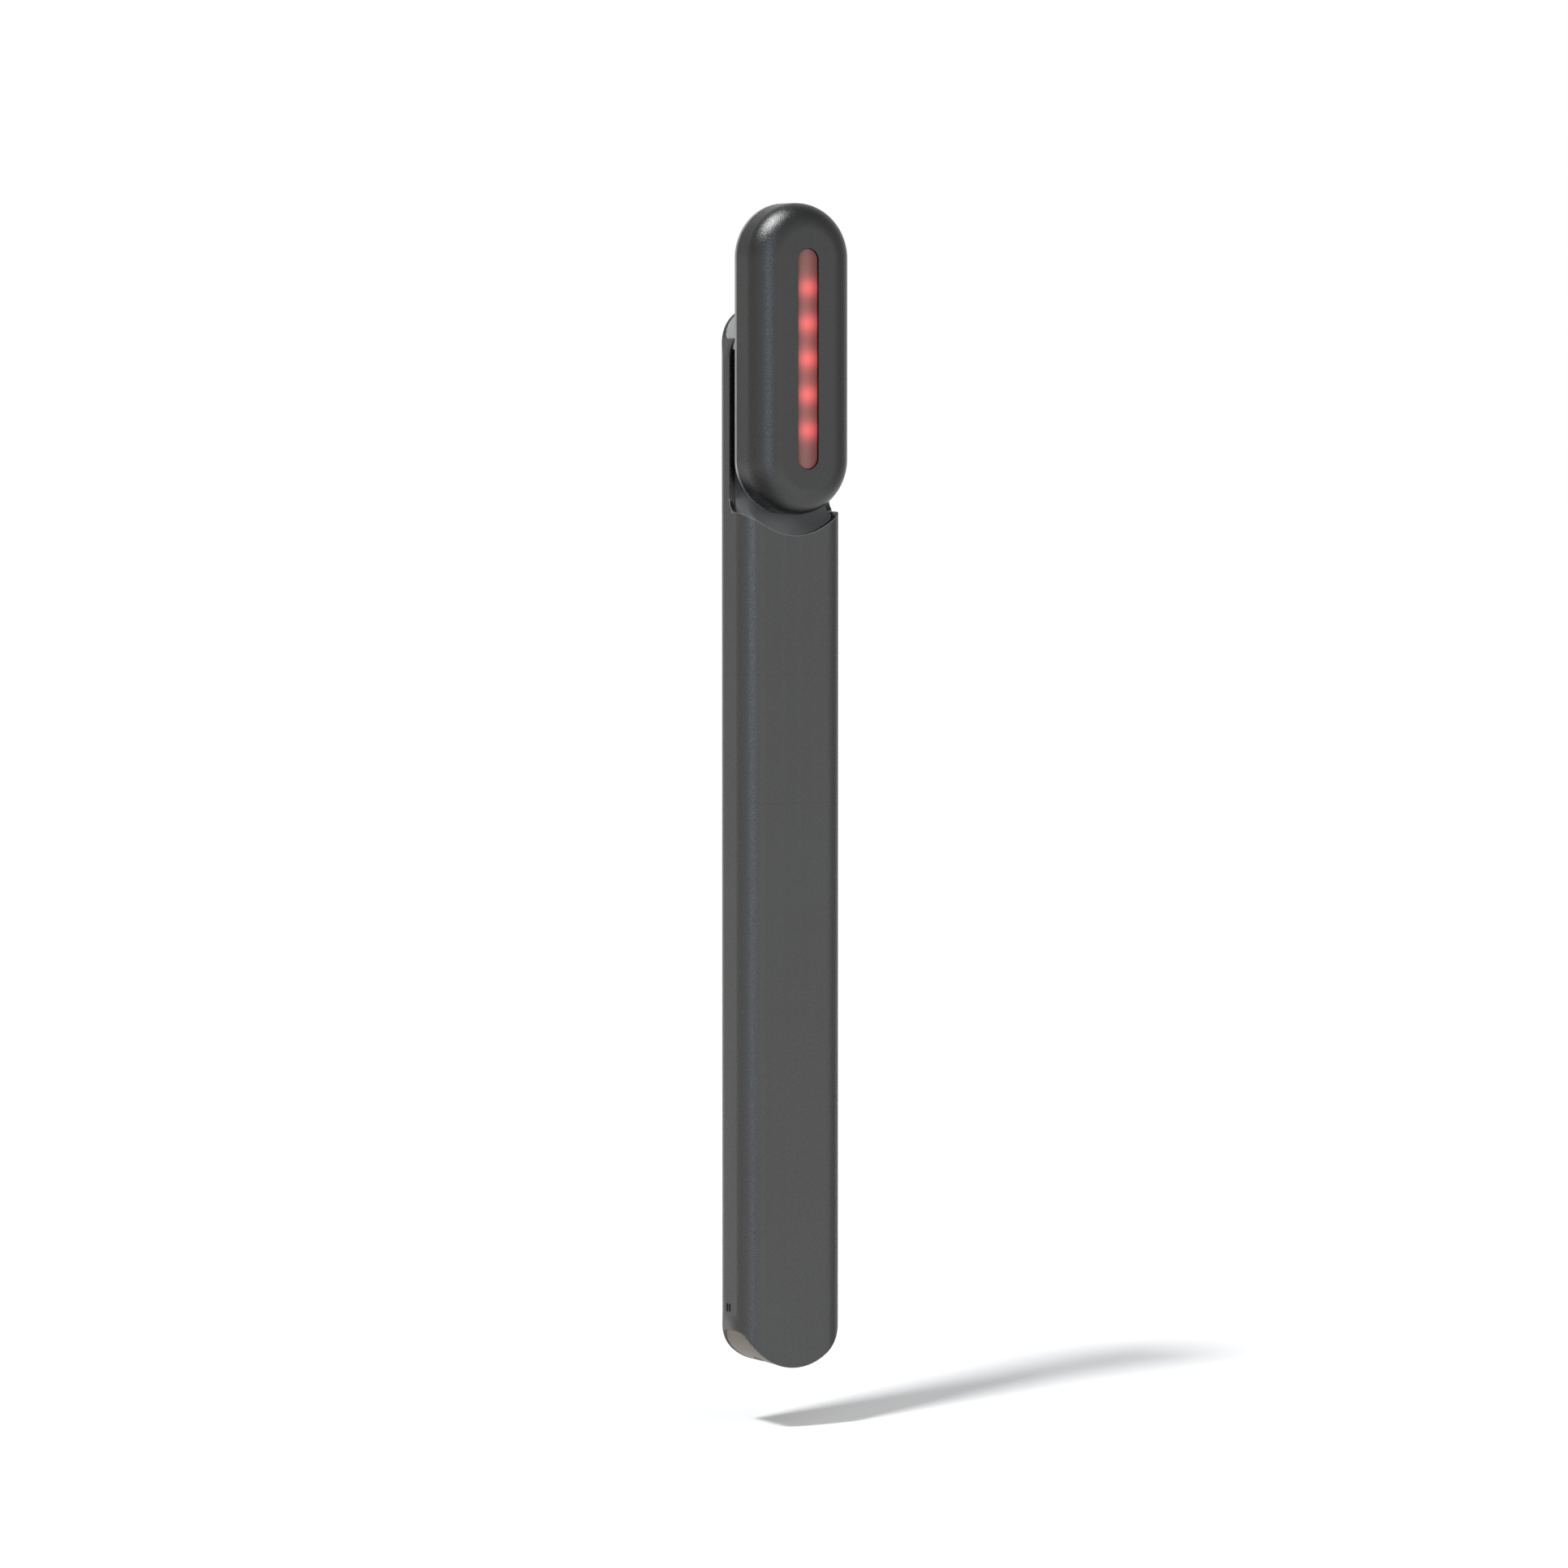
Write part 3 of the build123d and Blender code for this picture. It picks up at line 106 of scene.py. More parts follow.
class WandSizes(bpy.types.PropertyGroup):
    """Sizes of the pieces, as the CAD frame has them."""

    tube_length: length("Handle length", "Length of the handle tube", 164.56)
    tube_width: length("Handle width", "Width of the handle tube", 17.6)
    tube_depth: length("Handle depth", "Depth of the handle tube", 10.2)
    tube_corner: length("Handle corner", "Outer corner radius of the tube", 3.3)
    tube_wall: length("Handle wall", "Wall thickness of the tube", 1.0)
    tongue_front: length("Tongue front", "Depth at which the tongue begins", 0.25)
    lip_front: length("Lip front", "Depth of the lip at the top of the tongue", -0.62)
    lip_rise: length("Lip rise", "Height of the lip above the swivel axis", 4.0)
    lip_round: length("Lip rounding", "Rounding under the lip", 3.0)
    cradle_drop: length("Cradle drop", "Lowest point of the cradle below the swivel axis", 27.0)
    cradle_arc: length("Cradle arc", "Radius of the hollow of the cradle", 10.0)
    cradle_corner: length("Cradle corner", "Rounding where the cradle meets the tongue", 1.8)
    scoop_face: length("Scoop face", "Depth of the flat plate behind the head", 1.4)
    scoop_round: length("Scoop rounding", "Rounding at the foot of the scoop", 5.5)
    scoop_step: length("Scoop step", "Step of the scoop below the tube's edge", 0.05)
    scoop_foot: length("Scoop foot", "Depth of the foot of the scoop below the cradle", 6.0)
    scoop_rise: length("Scoop rise", "Top of the plate above the swivel axis", 1.4)
    scoop_fit: length("Scoop fit", "Gap between the scoop and the tube", 0.15)
    boss_radius: length("Boss radius", "Radius of the swivel boss", 5.2)
    boss_front: length("Boss front", "Depth at which the swivel boss begins", 0.28)
    bush_radius: length("Bush radius", "Outer radius of the swivel bush", 3.8)
    clip_radius: length("Clip pocket", "Radius of the pocket for the clip", 4.4)
    clip_front: length("Clip front", "Depth at which the clip pocket begins", 2.13)
    stop_reach: length("Stop reach", "Distance of the stop pin from the swivel axis", 6.5)
    stop_radius: length("Stop radius", "Radius of the stop pin's hole", 0.77)
    stop_boss: length("Stop boss", "Radius of the boss round the stop pin", 1.45)
    stop_slot: length("Stop slot", "Half width of the slot that the stop pin runs in", 0.85)
    sensor_front: length("Sensor front", "Depth at which the turn sensor begins", 2.3)
    ribbon_width: length("Cable channel", "Width of the channel for the flat cable", 2.6)
    plug_height: length("Plug height", "Height of the plug in the lower end", 7.4)
    seat_wall: length("Seat wall", "Wall of the tube round the plugs", 0.6)
    plug_inset: length("Plug inset", "How far the plugs lie inside the round ends", 0.05)
    plug_fit: length("Plug fit", "Gap between a plug and the tube", 0.05)
    socket_width: length("Socket width", "Width of the hole for the charging socket", 9.04)
    socket_depth: length("Socket depth", "Depth of the hole for the charging socket", 3.26)
    bar_rise: length("Charge bar rise", "Height of the charge bars above the lower end", 9.3)
    bar_depth: length("Charge bar depth", "Depth of the middle of the charge bars", 0.57)
    bar_pitch: length("Charge bar pitch", "Distance between the charge bars", 0.75)
    bar_width: length("Charge bar width", "Width of one charge bar", 0.45)
    bar_height: length("Charge bar height", "Height of one charge bar", 1.25)
    bar_inner: length("Charge bar reach", "Where the charge bars end inside", 6.6)
    head_length: length("Head length", "Length of the head", 47.7)
    head_width: length("Head width", "Width of the head", 17.0)
    head_front: length("Head front", "Depth of the treatment face", -8.98)
    head_back: length("Head back", "Depth of the back of the head", -0.92)
    head_round: length("Head rounding", "Rounding of the front edge of the head", 4.1)
    head_wall: length("Head wall", "Wall thickness of the head shell", 0.9)
    plate_thickness: length("Plate thickness", "Thickness of the back plate", 0.6)
    shaft_radius: length("Shaft hole", "Radius of the shaft hole in the back plate", 3.02)
    screw_circle: length("Screw circle", "Distance of the flange screws from the axis", 3.95)
    screw_radius: length("Screw hole", "Radius of the flange screw holes", 0.42)
    window_length: length("Window length", "Length of the light window", 33.7)
    window_width: length("Window width", "Width of the light window", 3.5)
    window_break: length("Window edge", "Chamfer round the light window", 0.15)
    lens_fit: length("Lens fit", "Gap between the lens and the window", 0.05)
    lens_recess: length("Lens recess", "How far the lens lies below the treatment face", 0.2)
    lens_margin: length("Lens margin", "Width of the lens flange round the window", 1.1)
    lens_flange: length("Lens flange", "Depth at which the lens flange begins", -7.78)
    lens_back: length("Lens back", "Depth of the back of the lens", -7.08)
    lens_crown: length("Lens crown", "How far the front of the lens bulges", 0.1)
    light_pitch: length("Light pitch", "Distance between the lights", 5.45)
    edge_break: length("Edge break", "Fine bevel on the machined metal edges", 0.1)
    floor_gap: length("Floor gap", "How far the wand floats above the floor", 9.6)


class WandColours(bpy.types.PropertyGroup):
    """Colours of the finishes, in linear light."""

    metal: colour("Gunmetal", "Blasted and anodised aluminium", 0.108, 0.109, 0.110)
    # Paler bevels: partly worn anodising, partly painted highlight for the thin light lines that the edges catch.
    edge: colour("Broken edge", "Fine bevels where the anodising is thin", 0.26, 0.265, 0.27)
    plate: colour("Back plate", "Satin aluminium behind the head", 0.52, 0.52, 0.53)
    # The lower plug is darker than the upper one: partly its own taupe tone, partly painted shade, as the lower
    # end faces down and the upper plug faces the light.
    plug: colour("Upper plug", "Pale plug in the upper end", 0.29, 0.293, 0.292)
    low_plug: colour("Lower plug", "Taupe plug in the lower end", 0.182, 0.157, 0.127)
    scoop: colour("Scoop", "Plastic under the head", 0.142, 0.145, 0.149)
    lens: colour("Lens", "Frosted light window", 0.160, 0.068, 0.061)
    light: colour("Light", "Red light behind the window", 1.0, 0.11, 0.10)
    bar: colour("Charge bar", "Smoked charge window", 0.006, 0.006, 0.007)
    key: colour("Key light", "Light from the upper left", 0.97, 0.98, 1.0)


def sizes():
    """All the sizes, in millimetres."""
    group = bpy.context.scene.wand_sizes
    return SimpleNamespace(
        pivot=PIVOT_Z * PER_METRE,
        **{name: getattr(group, name) * PER_METRE for name in WandSizes.__annotations__},
    )


def shade(name):
    """One of the colours, with its alpha."""
    return (*getattr(bpy.context.scene.wand_colours, name), 1.0)


def leave_edit():
    """Back to object mode with nothing selected."""
    if bpy.context.object and bpy.context.object.mode != "OBJECT":
        bpy.ops.object.mode_set(mode="OBJECT")
    bpy.ops.object.select_all(action="DESELECT")


def hold(piece):
    """Make one piece the only selected and active one."""
    leave_edit()
    piece.select_set(True)
    bpy.context.view_layer.objects.active = piece


@contextmanager
def editing(piece):
    """Edit mode on one piece, which starts with nothing selected."""
    hold(piece)
    bpy.ops.object.mode_set(mode="EDIT")
    bpy.ops.mesh.select_all(action="DESELECT")
    yield
    bpy.ops.object.mode_set(mode="OBJECT")


def pick(kind, test):
    """Select only the vertices, edges or faces of the edited mesh that pass a test."""
    bpy.ops.mesh.select_mode(type=kind)
    bpy.ops.mesh.select_all(action="DESELECT")
    data = bpy.context.object.data
    mesh = bmesh.from_edit_mesh(data)
    for part in {"VERT": mesh.verts, "EDGE": mesh.edges, "FACE": mesh.faces}[kind]:
        if test(part):
            part.select_set(True)
    mesh.select_flush_mode()
    bmesh.update_edit_mesh(data)


def places(part, axis):
    """The coordinates of an edge's or face's vertices along one axis."""
    return [vertex.co[axis] for vertex in part.verts]


def lies_at(part, axis, place):
    """Whether an edge or face lies wholly in a plane square to an axis."""
    return all(abs(value - place) < SAME_PLACE for value in places(part, axis))


def runs_along(edge, axis):
    """Whether an edge is parallel to an axis."""
    span = edge.verts[1].co - edge.verts[0].co
    return abs(abs(span[axis]) - span.length) < SAME_PLACE


def merge_points():
    """Merge doubled points of the whole edited mesh and turn its faces outwards."""
    bpy.ops.mesh.select_all(action="SELECT")
    bpy.ops.mesh.remove_doubles(threshold=SAME_PLACE)
    bpy.ops.mesh.normals_make_consistent(inside=False)


def fix_place(piece, name):
    """Name a piece and put its place, turn and scale in its mesh."""
    piece.name = name
    piece.data.name = name
    bpy.ops.object.transform_apply(location=True, rotation=True, scale=True)
    return piece


def round_off(offset, steps):
    """Round the selected edges of the edited mesh."""
    bpy.ops.mesh.bevel(offset=offset, segments=steps, profile=0.5, affect="EDGES")


def bar(name, low, high, along=Z, corner=0.0, steps=CORNER_STEPS):
    """A bar between two corners, with its four edges along one axis rounded."""
    low, high = Vector(low), Vector(high)
    leave_edit()
    bpy.ops.mesh.primitive_cube_add(size=1, location=(low + high) / 2)
    bpy.ops.transform.resize(value=high - low)
    piece = fix_place(bpy.context.object, name)
    if corner:
        with editing(piece):
            pick("EDGE", lambda edge: runs_along(edge, along))
            round_off(corner, steps)
            merge_points()
    return piece


def stadium(name, width, height, front, back, middle_z=0.0, steps=ROUND_END_STEPS):
    """A stadium seen from the front, given its depth."""
    low = (-width / 2, front, middle_z - height / 2)
    high = (width / 2, back, middle_z + height / 2)
    return bar(name, low, high, along=Y, corner=min(width, height) / 2, steps=steps)


def disc(name, radius, front, back, x=0.0, z=0.0):
    """A round piece whose axis runs front to back."""
    leave_edit()
    bpy.ops.mesh.primitive_cylinder_add(
        vertices=DISC_STEPS,
        radius=radius,
        depth=back - front,
        location=(x, (front + back) / 2, z),
        rotation=(math.pi / 2, 0, 0),
    )
    return fix_place(bpy.context.object, name)


def copied(piece, name, *step):
    """A copy of a piece with its own mesh, moved by a step."""
    hold(piece)
    bpy.ops.object.duplicate(linked=False)
    bpy.ops.transform.translate(value=step)
    return fix_place(bpy.context.object, name)


def apply_modifier(piece, kind, **settings):
    """Shape a piece with a modifier and apply it."""
    hold(piece)
    modifier = piece.modifiers.new(kind, kind)
    for name, value in settings.items():
        setattr(modifier, name, value)
    bpy.ops.object.modifier_apply(modifier=modifier.name)


def combine(piece, tool, operation="DIFFERENCE"):
    """Cut, join or keep what a tool piece shares, and remove the tool."""
    apply_modifier(piece, "BOOLEAN", object=tool, operation=operation, solver="EXACT")
    bpy.data.objects.remove(tool)
    return piece


def extrude(*step):
    """Extrude what is selected in the edited mesh."""
    bpy.ops.mesh.extrude_region_move(TRANSFORM_OT_translate={"value": step})


def tidy(piece):
    """Merge what a cut left doubled."""
    with editing(piece):
        merge_points()
        bpy.ops.mesh.select_all(action="SELECT")
        bpy.ops.mesh.dissolve_degenerate(threshold=SAME_PLACE)


def break_edges(piece, width, angle=SHARP_ANGLE, segments=BREAK_STEPS, wear_and_highlight_slot=0):
    """A fine bevel on every sharp edge."""
    apply_modifier(
        piece,
        "BEVEL",
        width=width,
        segments=segments,
        limit_method="ANGLE",
        angle_limit=angle,
        use_clamp_overlap=False,
        material=wear_and_highlight_slot,
    )


def smooth(piece):
    """Smooth shading whose normals keep the large faces flat."""
    hold(piece)
    bpy.ops.object.shade_smooth_by_angle(angle=SHARP_ANGLE)
    apply_modifier(
        piece, "WEIGHTED_NORMAL", mode="FACE_AREA", weight=FACE_WEIGHT, keep_sharp=True
    )


def soften(piece, width, segments=BREAK_STEPS):
    """Fine bevels and smooth shading."""
    break_edges(piece, width, segments=segments)
    smooth(piece)


def complete(piece, body, finishes, slot, *nodes):
    """Bring a piece to metres, give it its finishes and set it on the CAD frame."""
    hold(piece)
    bpy.ops.transform.resize(value=(1 / PER_METRE,) * 3, center_override=(0, 0, 0))
    bpy.ops.object.transform_apply(location=True, rotation=True, scale=True)
    for index, finish in enumerate(finishes):
        if index < len(piece.material_slots):
            piece.material_slots[index].material = finish
        else:
            piece.data.materials.append(finish)
    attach(piece, body)
    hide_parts(*nodes)
    return piece


class Value:
    """A node's socket, used in Python expressions that add Math nodes."""

    def __init__(self, socket):
        self.socket = socket
        self.tree = socket.id_data

    def plug(self, other):
        """Give this input a link or a value."""
        if isinstance(other, Value):
            self.tree.links.new(other.socket, self.socket)
        else:
            self.socket.default_value = other

    def math(self, operation, first, second=0.0):
        settings = {"operation": operation}
        return Nodes(self.tree).add("ShaderNodeMath", 0, settings, i0=first, i1=second)

    def __add__(self, other):
        return self.math("ADD", self, other)

    def __sub__(self, other):
        return self.math("SUBTRACT", self, other)

    def __rsub__(self, other):
        return self.math("SUBTRACT", other, self)

    def __mul__(self, other):
        return self.math("MULTIPLY", self, other)

    def __truediv__(self, other):
        return self.math("DIVIDE", self, other)

    def __rtruediv__(self, other):
        return self.math("DIVIDE", other, self)

    __radd__ = __add__
    __rmul__ = __mul__

    def clamped(self):
        return self.math("MAXIMUM", self.math("MINIMUM", self, 1.0), 0.0)

    def bell(self, middle, width):
        """A smooth bump of height 1 round a value."""
        away = (self - middle) / width
        return self.math("POWER", math.e, -1.0 * away * away)


class Nodes:
    """A node tree, to which one method adds every node."""

    def __init__(self, tree, coordinates=None):
        self.tree = tree
        if coordinates:
            self.here = self.add("ShaderNodeTexCoord", coordinates)

    def add(self, kind, output=0, settings=None, **sockets):
        """Add a node: its settings first, then the values or links of its sockets.

        A socket goes by its name, with _ for a space, or by i and its number.
        """
        node = self.tree.nodes.new(kind)
        for name, value in (settings or {}).items():
            if name == "stops":
                self.set_stops(node.color_ramp.elements, value)
            else:
                setattr(node, name, value)
        for name, value in sockets.items():
            key = int(name[1:]) if name[1:].isdigit() else name.replace("_", " ")
            Value(node.inputs[key]).plug(value)
        return Value(node.outputs[output])

    @staticmethod
    def set_stops(ramp, stops):
        """Give a ramp its stops, each a place from 0 to 1 and a colour."""
        for index, (place, rgba) in enumerate(stops):
            stop = ramp[index] if index < len(ramp) else ramp.new(place)
            stop.position = place
            stop.color = rgba

    def axis(self, name):
        """One of the three coordinates."""
        return self.add("ShaderNodeSeparateXYZ", name, Vector=self.here)

    def mix(self, factor, first, second):
        """A colour between two colours."""
        settings = {"data_type": "RGBA"}
        return self.add("ShaderNodeMix", 2, settings, i0=factor, i6=first, i7=second)


class Finish(Nodes):
    """A node based material on Object coordinates."""

    def __init__(self, name, **constants):
        self.material = bpy.data.materials.new(name)
        self.material.use_nodes = True
        super().__init__(self.material.node_tree, "Object")
        self.shader = self.tree.nodes["Principled BSDF"]
        self.set(**constants)

    def set(self, **sockets):
        """Values or links for the shader's sockets, with _ for a space in their names."""
        for name, value in sockets.items():
            Value(self.shader.inputs[name.replace("_", " ")]).plug(value)

    def noise(self, scale, detail=2.0, stretch=(1.0, 1.0, 1.0)):
        """A noise pattern, whose scale is in cells per metre."""
        where = self.add("ShaderNodeMapping", Vector=self.here, Scale=stretch)
        return self.add("ShaderNodeTexNoise", Vector=where, Scale=scale, Detail=detail)

    def bump(self, height, strength, distance=0.00001):
        """Relief from a height, whose distance is in metres, on the finished material."""
        sockets = {"Height": height, "Strength": strength, "Distance": distance}
        self.set(Normal=self.add("ShaderNodeBump", **sockets))
        return self.material


def scaled(rgba, factor):
    """A colour made darker or lighter."""
    return (*(min(1.0, part * factor) for part in rgba[:3]), 1.0)


def spread(rgba, share):
    """A colour's darker and lighter neighbours."""
    return scaled(rgba, 1 - share), scaled(rgba, 1 + share)


def swinging(middle, patterns, shares):
    """A value that swings round its middle as some patterns do, each by its share."""
    for pattern, share in zip(patterns, shares):
        middle = middle + (pattern - 0.5) * share
    return middle


# Scales are in cells per metre, widths and depths of relief in metres. A tuple of shares
# follows the order of its patterns.
BLAST_GRAIN = 7500.0
BLAST_CLOUDS = 45.0
DRAWN_STREAKS = 1500.0
ALONG_HANDLE = (1.0, 1.0, 0.006)
CLOUD_DETAIL = 3.0
BLAST_TONES = (0.3, 0.9, 0.25)
BLAST_ROUGHNESS = 0.27
BLAST_ROUGHNESS_SHARES = (0.06, 0.16)
BLAST_SPREAD = 0.16
BLAST_RELIEF = 0.00004
STREAK_RELIEF = 0.1
HAIRLINE_WIDTH = 0.00006
HAIRLINE_TONE = 0.3
HAIRLINE_RELIEF = 0.15


def blasted_metal(name, tone, hairlines=()):
    """Bead blasted anodised aluminium: fine grain, faint drawing streaks and cloudy tone."""
    finish = Finish(name, Metallic=1.0)
    grain = finish.noise(BLAST_GRAIN)
    cloud = finish.noise(BLAST_CLOUDS, CLOUD_DETAIL)
    streak = finish.noise(DRAWN_STREAKS, stretch=ALONG_HANDLE)
    lightness = swinging(0.5, (cloud, grain, streak), BLAST_TONES)
    height = grain + streak * STREAK_RELIEF
    for place in hairlines:
        line = finish.axis("Z").bell(place, HAIRLINE_WIDTH)
        lightness = lightness - line * HAIRLINE_TONE
        height = height - line * HAIRLINE_RELIEF
    roughness = swinging(BLAST_ROUGHNESS, (cloud, grain), BLAST_ROUGHNESS_SHARES)
    finish.set(
        Base_Color=finish.mix(lightness.clamped(), *spread(tone, BLAST_SPREAD)),
        Roughness=roughness.clamped(),
    )
    return finish.bump(height, 1.0, BLAST_RELIEF)


RUB_MARKS = 400.0
WORN_ROUGHNESS = 0.34
WORN_ROUGHNESS_SHARE = 0.2
WORN_RELIEF = 0.1


def worn_metal(name, tone, metallic=1.0, wear=0.25):
    """Bare metal, worn by hands and tools."""
    finish = Finish(name, Metallic=metallic)
    wear_and_painted_light = finish.noise(RUB_MARKS, CLOUD_DETAIL)
    finish.set(
        Base_Color=finish.mix(wear_and_painted_light, *spread(tone, wear)),
        Roughness=swinging(WORN_ROUGHNESS, (wear_and_painted_light,), (WORN_ROUGHNESS_SHARE,)),
    )
    return finish.bump(wear_and_painted_light, WORN_RELIEF)


SPARK_GRAIN = 2600.0
MOULD_CLOUDS = 90.0
MOULD_SPREAD = 0.1
MOULD_ROUGHNESS_SHARES = (0.12, 0.05)
PAINTED_LIGHT_TONE = 2.4


def moulded(name, tone, roughness=0.45, relief=0.3, gloss=0.5, painted_light=None):
    """Moulded plastic or rubber with a fine spark grain and a slow change of tone.

    It may be painted paler round an x and a z, within a reach: painted light where light falls.
    """
    finish = Finish(name, Specular_IOR_Level=gloss)
    grain = finish.noise(SPARK_GRAIN)
    cloud = finish.noise(MOULD_CLOUDS, CLOUD_DETAIL)
    base = finish.mix(cloud, *spread(tone, MOULD_SPREAD))
    # Painted light: paler round the given x and z.
    if painted_light:
        x, z, reach = painted_light
        wear_and_painted_light = finish.axis("X").bell(x, reach) * finish.axis("Z").bell(z, reach)
        base = finish.mix(wear_and_painted_light, base, scaled(tone, PAINTED_LIGHT_TONE))
    roughness = swinging(roughness, (grain, cloud), MOULD_ROUGHNESS_SHARES)
    finish.set(Base_Color=base, Roughness=roughness.clamped())
    return finish.bump(grain, relief)


FROST_GRAIN = 3000.0
FROST_CLOUDS = 120.0
FROST_ROUGHNESS = 0.42
FROST_COAT = 0.15
FROST_RELIEF = 0.12
POOL_WIDTH = 0.0017
POOL_LENGTH = 0.0014
POOL_LEVEL = 0.64
SPILL_LENGTH = 0.0128
SPILL_LEVEL = 0.14
# Painted light and shade on the lens: paler in a band a little left of its middle, deeper red towards its sides,
# most on the right.
PAINTED_LIT_SIDE_X = -0.0005
PAINTED_LIT_SIDE_WIDTH = 0.0013
LENS_GRAIN_SHARE = 0.15
LENS_CLOUD_SHARE = 0.25
LENS_LIGHTNESS_FLOOR = 0.2
PAINTED_LIT_SIDE_TONE = 1.1
PAINTED_SHADE_SHARES = (0.62, 0.2, 0.2)
UNLIT = (0.0, 0.0, 0.0, 1.0)


def lit_lens(name, tone, glow, pitch):
    """Frosted diffuser with a soft pool of light over each light behind it, and painted light and shade: paler a
    little left of its middle, deeper red towards its sides.
    """
    finish = Finish(
        name, Roughness=FROST_ROUGHNESS, Emission_Strength=1.0, Coat_Weight=FROST_COAT
    )
    grain = finish.noise(FROST_GRAIN, detail=1.0)
    along = finish.axis("Z") - PIVOT_Z
    across = finish.axis("X").bell(0.0, POOL_WIDTH)
    pools = 0.0
    for index in range(LIGHTS):
        middle = (index - (LIGHTS - 1) / 2) * pitch
        pools = along.bell(middle, POOL_LENGTH) + pools
    spill = along.bell(0.0, SPILL_LENGTH) * SPILL_LEVEL
    light = ((pools * POOL_LEVEL + spill) * across).clamped()
    # Painted light and shade: the lens is paler left of its middle and deeper red towards its sides.
    painted_lit_side = finish.axis("X").bell(PAINTED_LIT_SIDE_X, PAINTED_LIT_SIDE_WIDTH)
    clouds = finish.noise(FROST_CLOUDS)
    lightness = (painted_lit_side + grain * LENS_GRAIN_SHARE + clouds * LENS_CLOUD_SHARE - LENS_LIGHTNESS_FLOOR).clamped()
    deep = (*(part * share for part, share in zip(tone, PAINTED_SHADE_SHARES)), 1.0)
    finish.set(
        Base_Color=finish.mix(lightness, deep, scaled(tone, PAINTED_LIT_SIDE_TONE)),
        Emission_Color=finish.mix(light, UNLIT, glow),
    )
    return finish.bump(grain, FROST_RELIEF)


class WandPiece:
    """What every piece operator shares."""

    bl_options = {"REGISTER", "UNDO"}

    def execute(self, context):
        self.build(sizes())
        return {"FINISHED"}


def cradle_tool(size, back, low, top, corner, lip=0.0):
    """Tool that mills the recess: a hollow arc whose straight flanks rise to the sides."""
    middle = low + size.cradle_arc
    leave_edit()
    bpy.ops.mesh.primitive_circle_add(
        vertices=round(math.tau / ARC_STEP),
        radius=size.cradle_arc,
        location=(0, back, middle),
        rotation=(math.pi / 2, 0, 0),
    )
    tool = fix_place(bpy.context.object, "cradle_tool")
    end_x = size.cradle_arc * math.sin(FLANK_ANGLE)
    end_z = middle - size.cradle_arc * math.cos(FLANK_ANGLE)
    out = size.tube_width - end_x
    side_z = end_z + out * math.tan(FLANK_ANGLE)
    with editing(tool):
        pick("VERT", lambda vertex: vertex.co.z > end_z + SAME_PLACE)
        bpy.ops.mesh.delete(type="VERT")
        for side in (-1, 1):
            end = Vector((side * end_x, back, end_z))
            pick("VERT", lambda vertex: (vertex.co - end).length < SAME_PLACE)
            for step in ((side * out, 0, side_z - end_z), (0, 0, top - side_z)):
                bpy.ops.mesh.extrude_vertices_move(TRANSFORM_OT_translate={"value": step})
        bpy.ops.mesh.select_all(action="SELECT")
        bpy.ops.mesh.edge_face_add()
        extrude(0, -2 * size.tube_depth, 0)
        merge_points()
        limit = size.tube_width - SAME_PLACE

        def in_hollow(edge):
            return max(places(edge, Z)) < top and min(map(abs, places(edge, X))) < limit

        def at_lip(edge):
            return min(places(edge, Z)) > top - SAME_PLACE

        for rounding, test in ((corner, in_hollow), (lip, at_lip)):
            if rounding:
                pick("EDGE", lambda edge: lies_at(edge, Y, back) and test(edge))
                round_off(rounding, CRADLE_ROUND_STEPS)
        merge_points()
    return tool


def round_ends(size, inset=0.0):
    """Tool that keeps what lies between the two round ends of the handle."""
    width, height = size.tube_width - 2 * inset, size.tube_length - 2 * inset
    return stadium("ends_tool", width, height, -size.tube_depth, size.tube_depth)


def inner_bar(name, size, inset, low, high):
    """A bar of the tube's section, set in from its outside all round."""
    half = (size.tube_width / 2 - inset, size.tube_depth / 2 - inset)
    corner = size.tube_corner - inset
    return bar(name, (-half[0], -half[1], low), (half[0], half[1], high), corner=corner)


def charge_bar(name, size, grow=0.0, front=0.0):
    """The front one of two pill shaped bars through the left side wall."""
    half_width, half_height = size.bar_width / 2 + grow, size.bar_height / 2 + grow
    y = size.bar_depth - size.bar_pitch / 2
    z = size.bar_rise - size.tube_length / 2
    low = (-size.tube_width / 2 + front, y - half_width, z - half_height)
    high = (-size.bar_inner, y + half_width, z + half_height)
    return bar(name, low, high, along=X, corner=half_width, steps=BAR_END_STEPS)


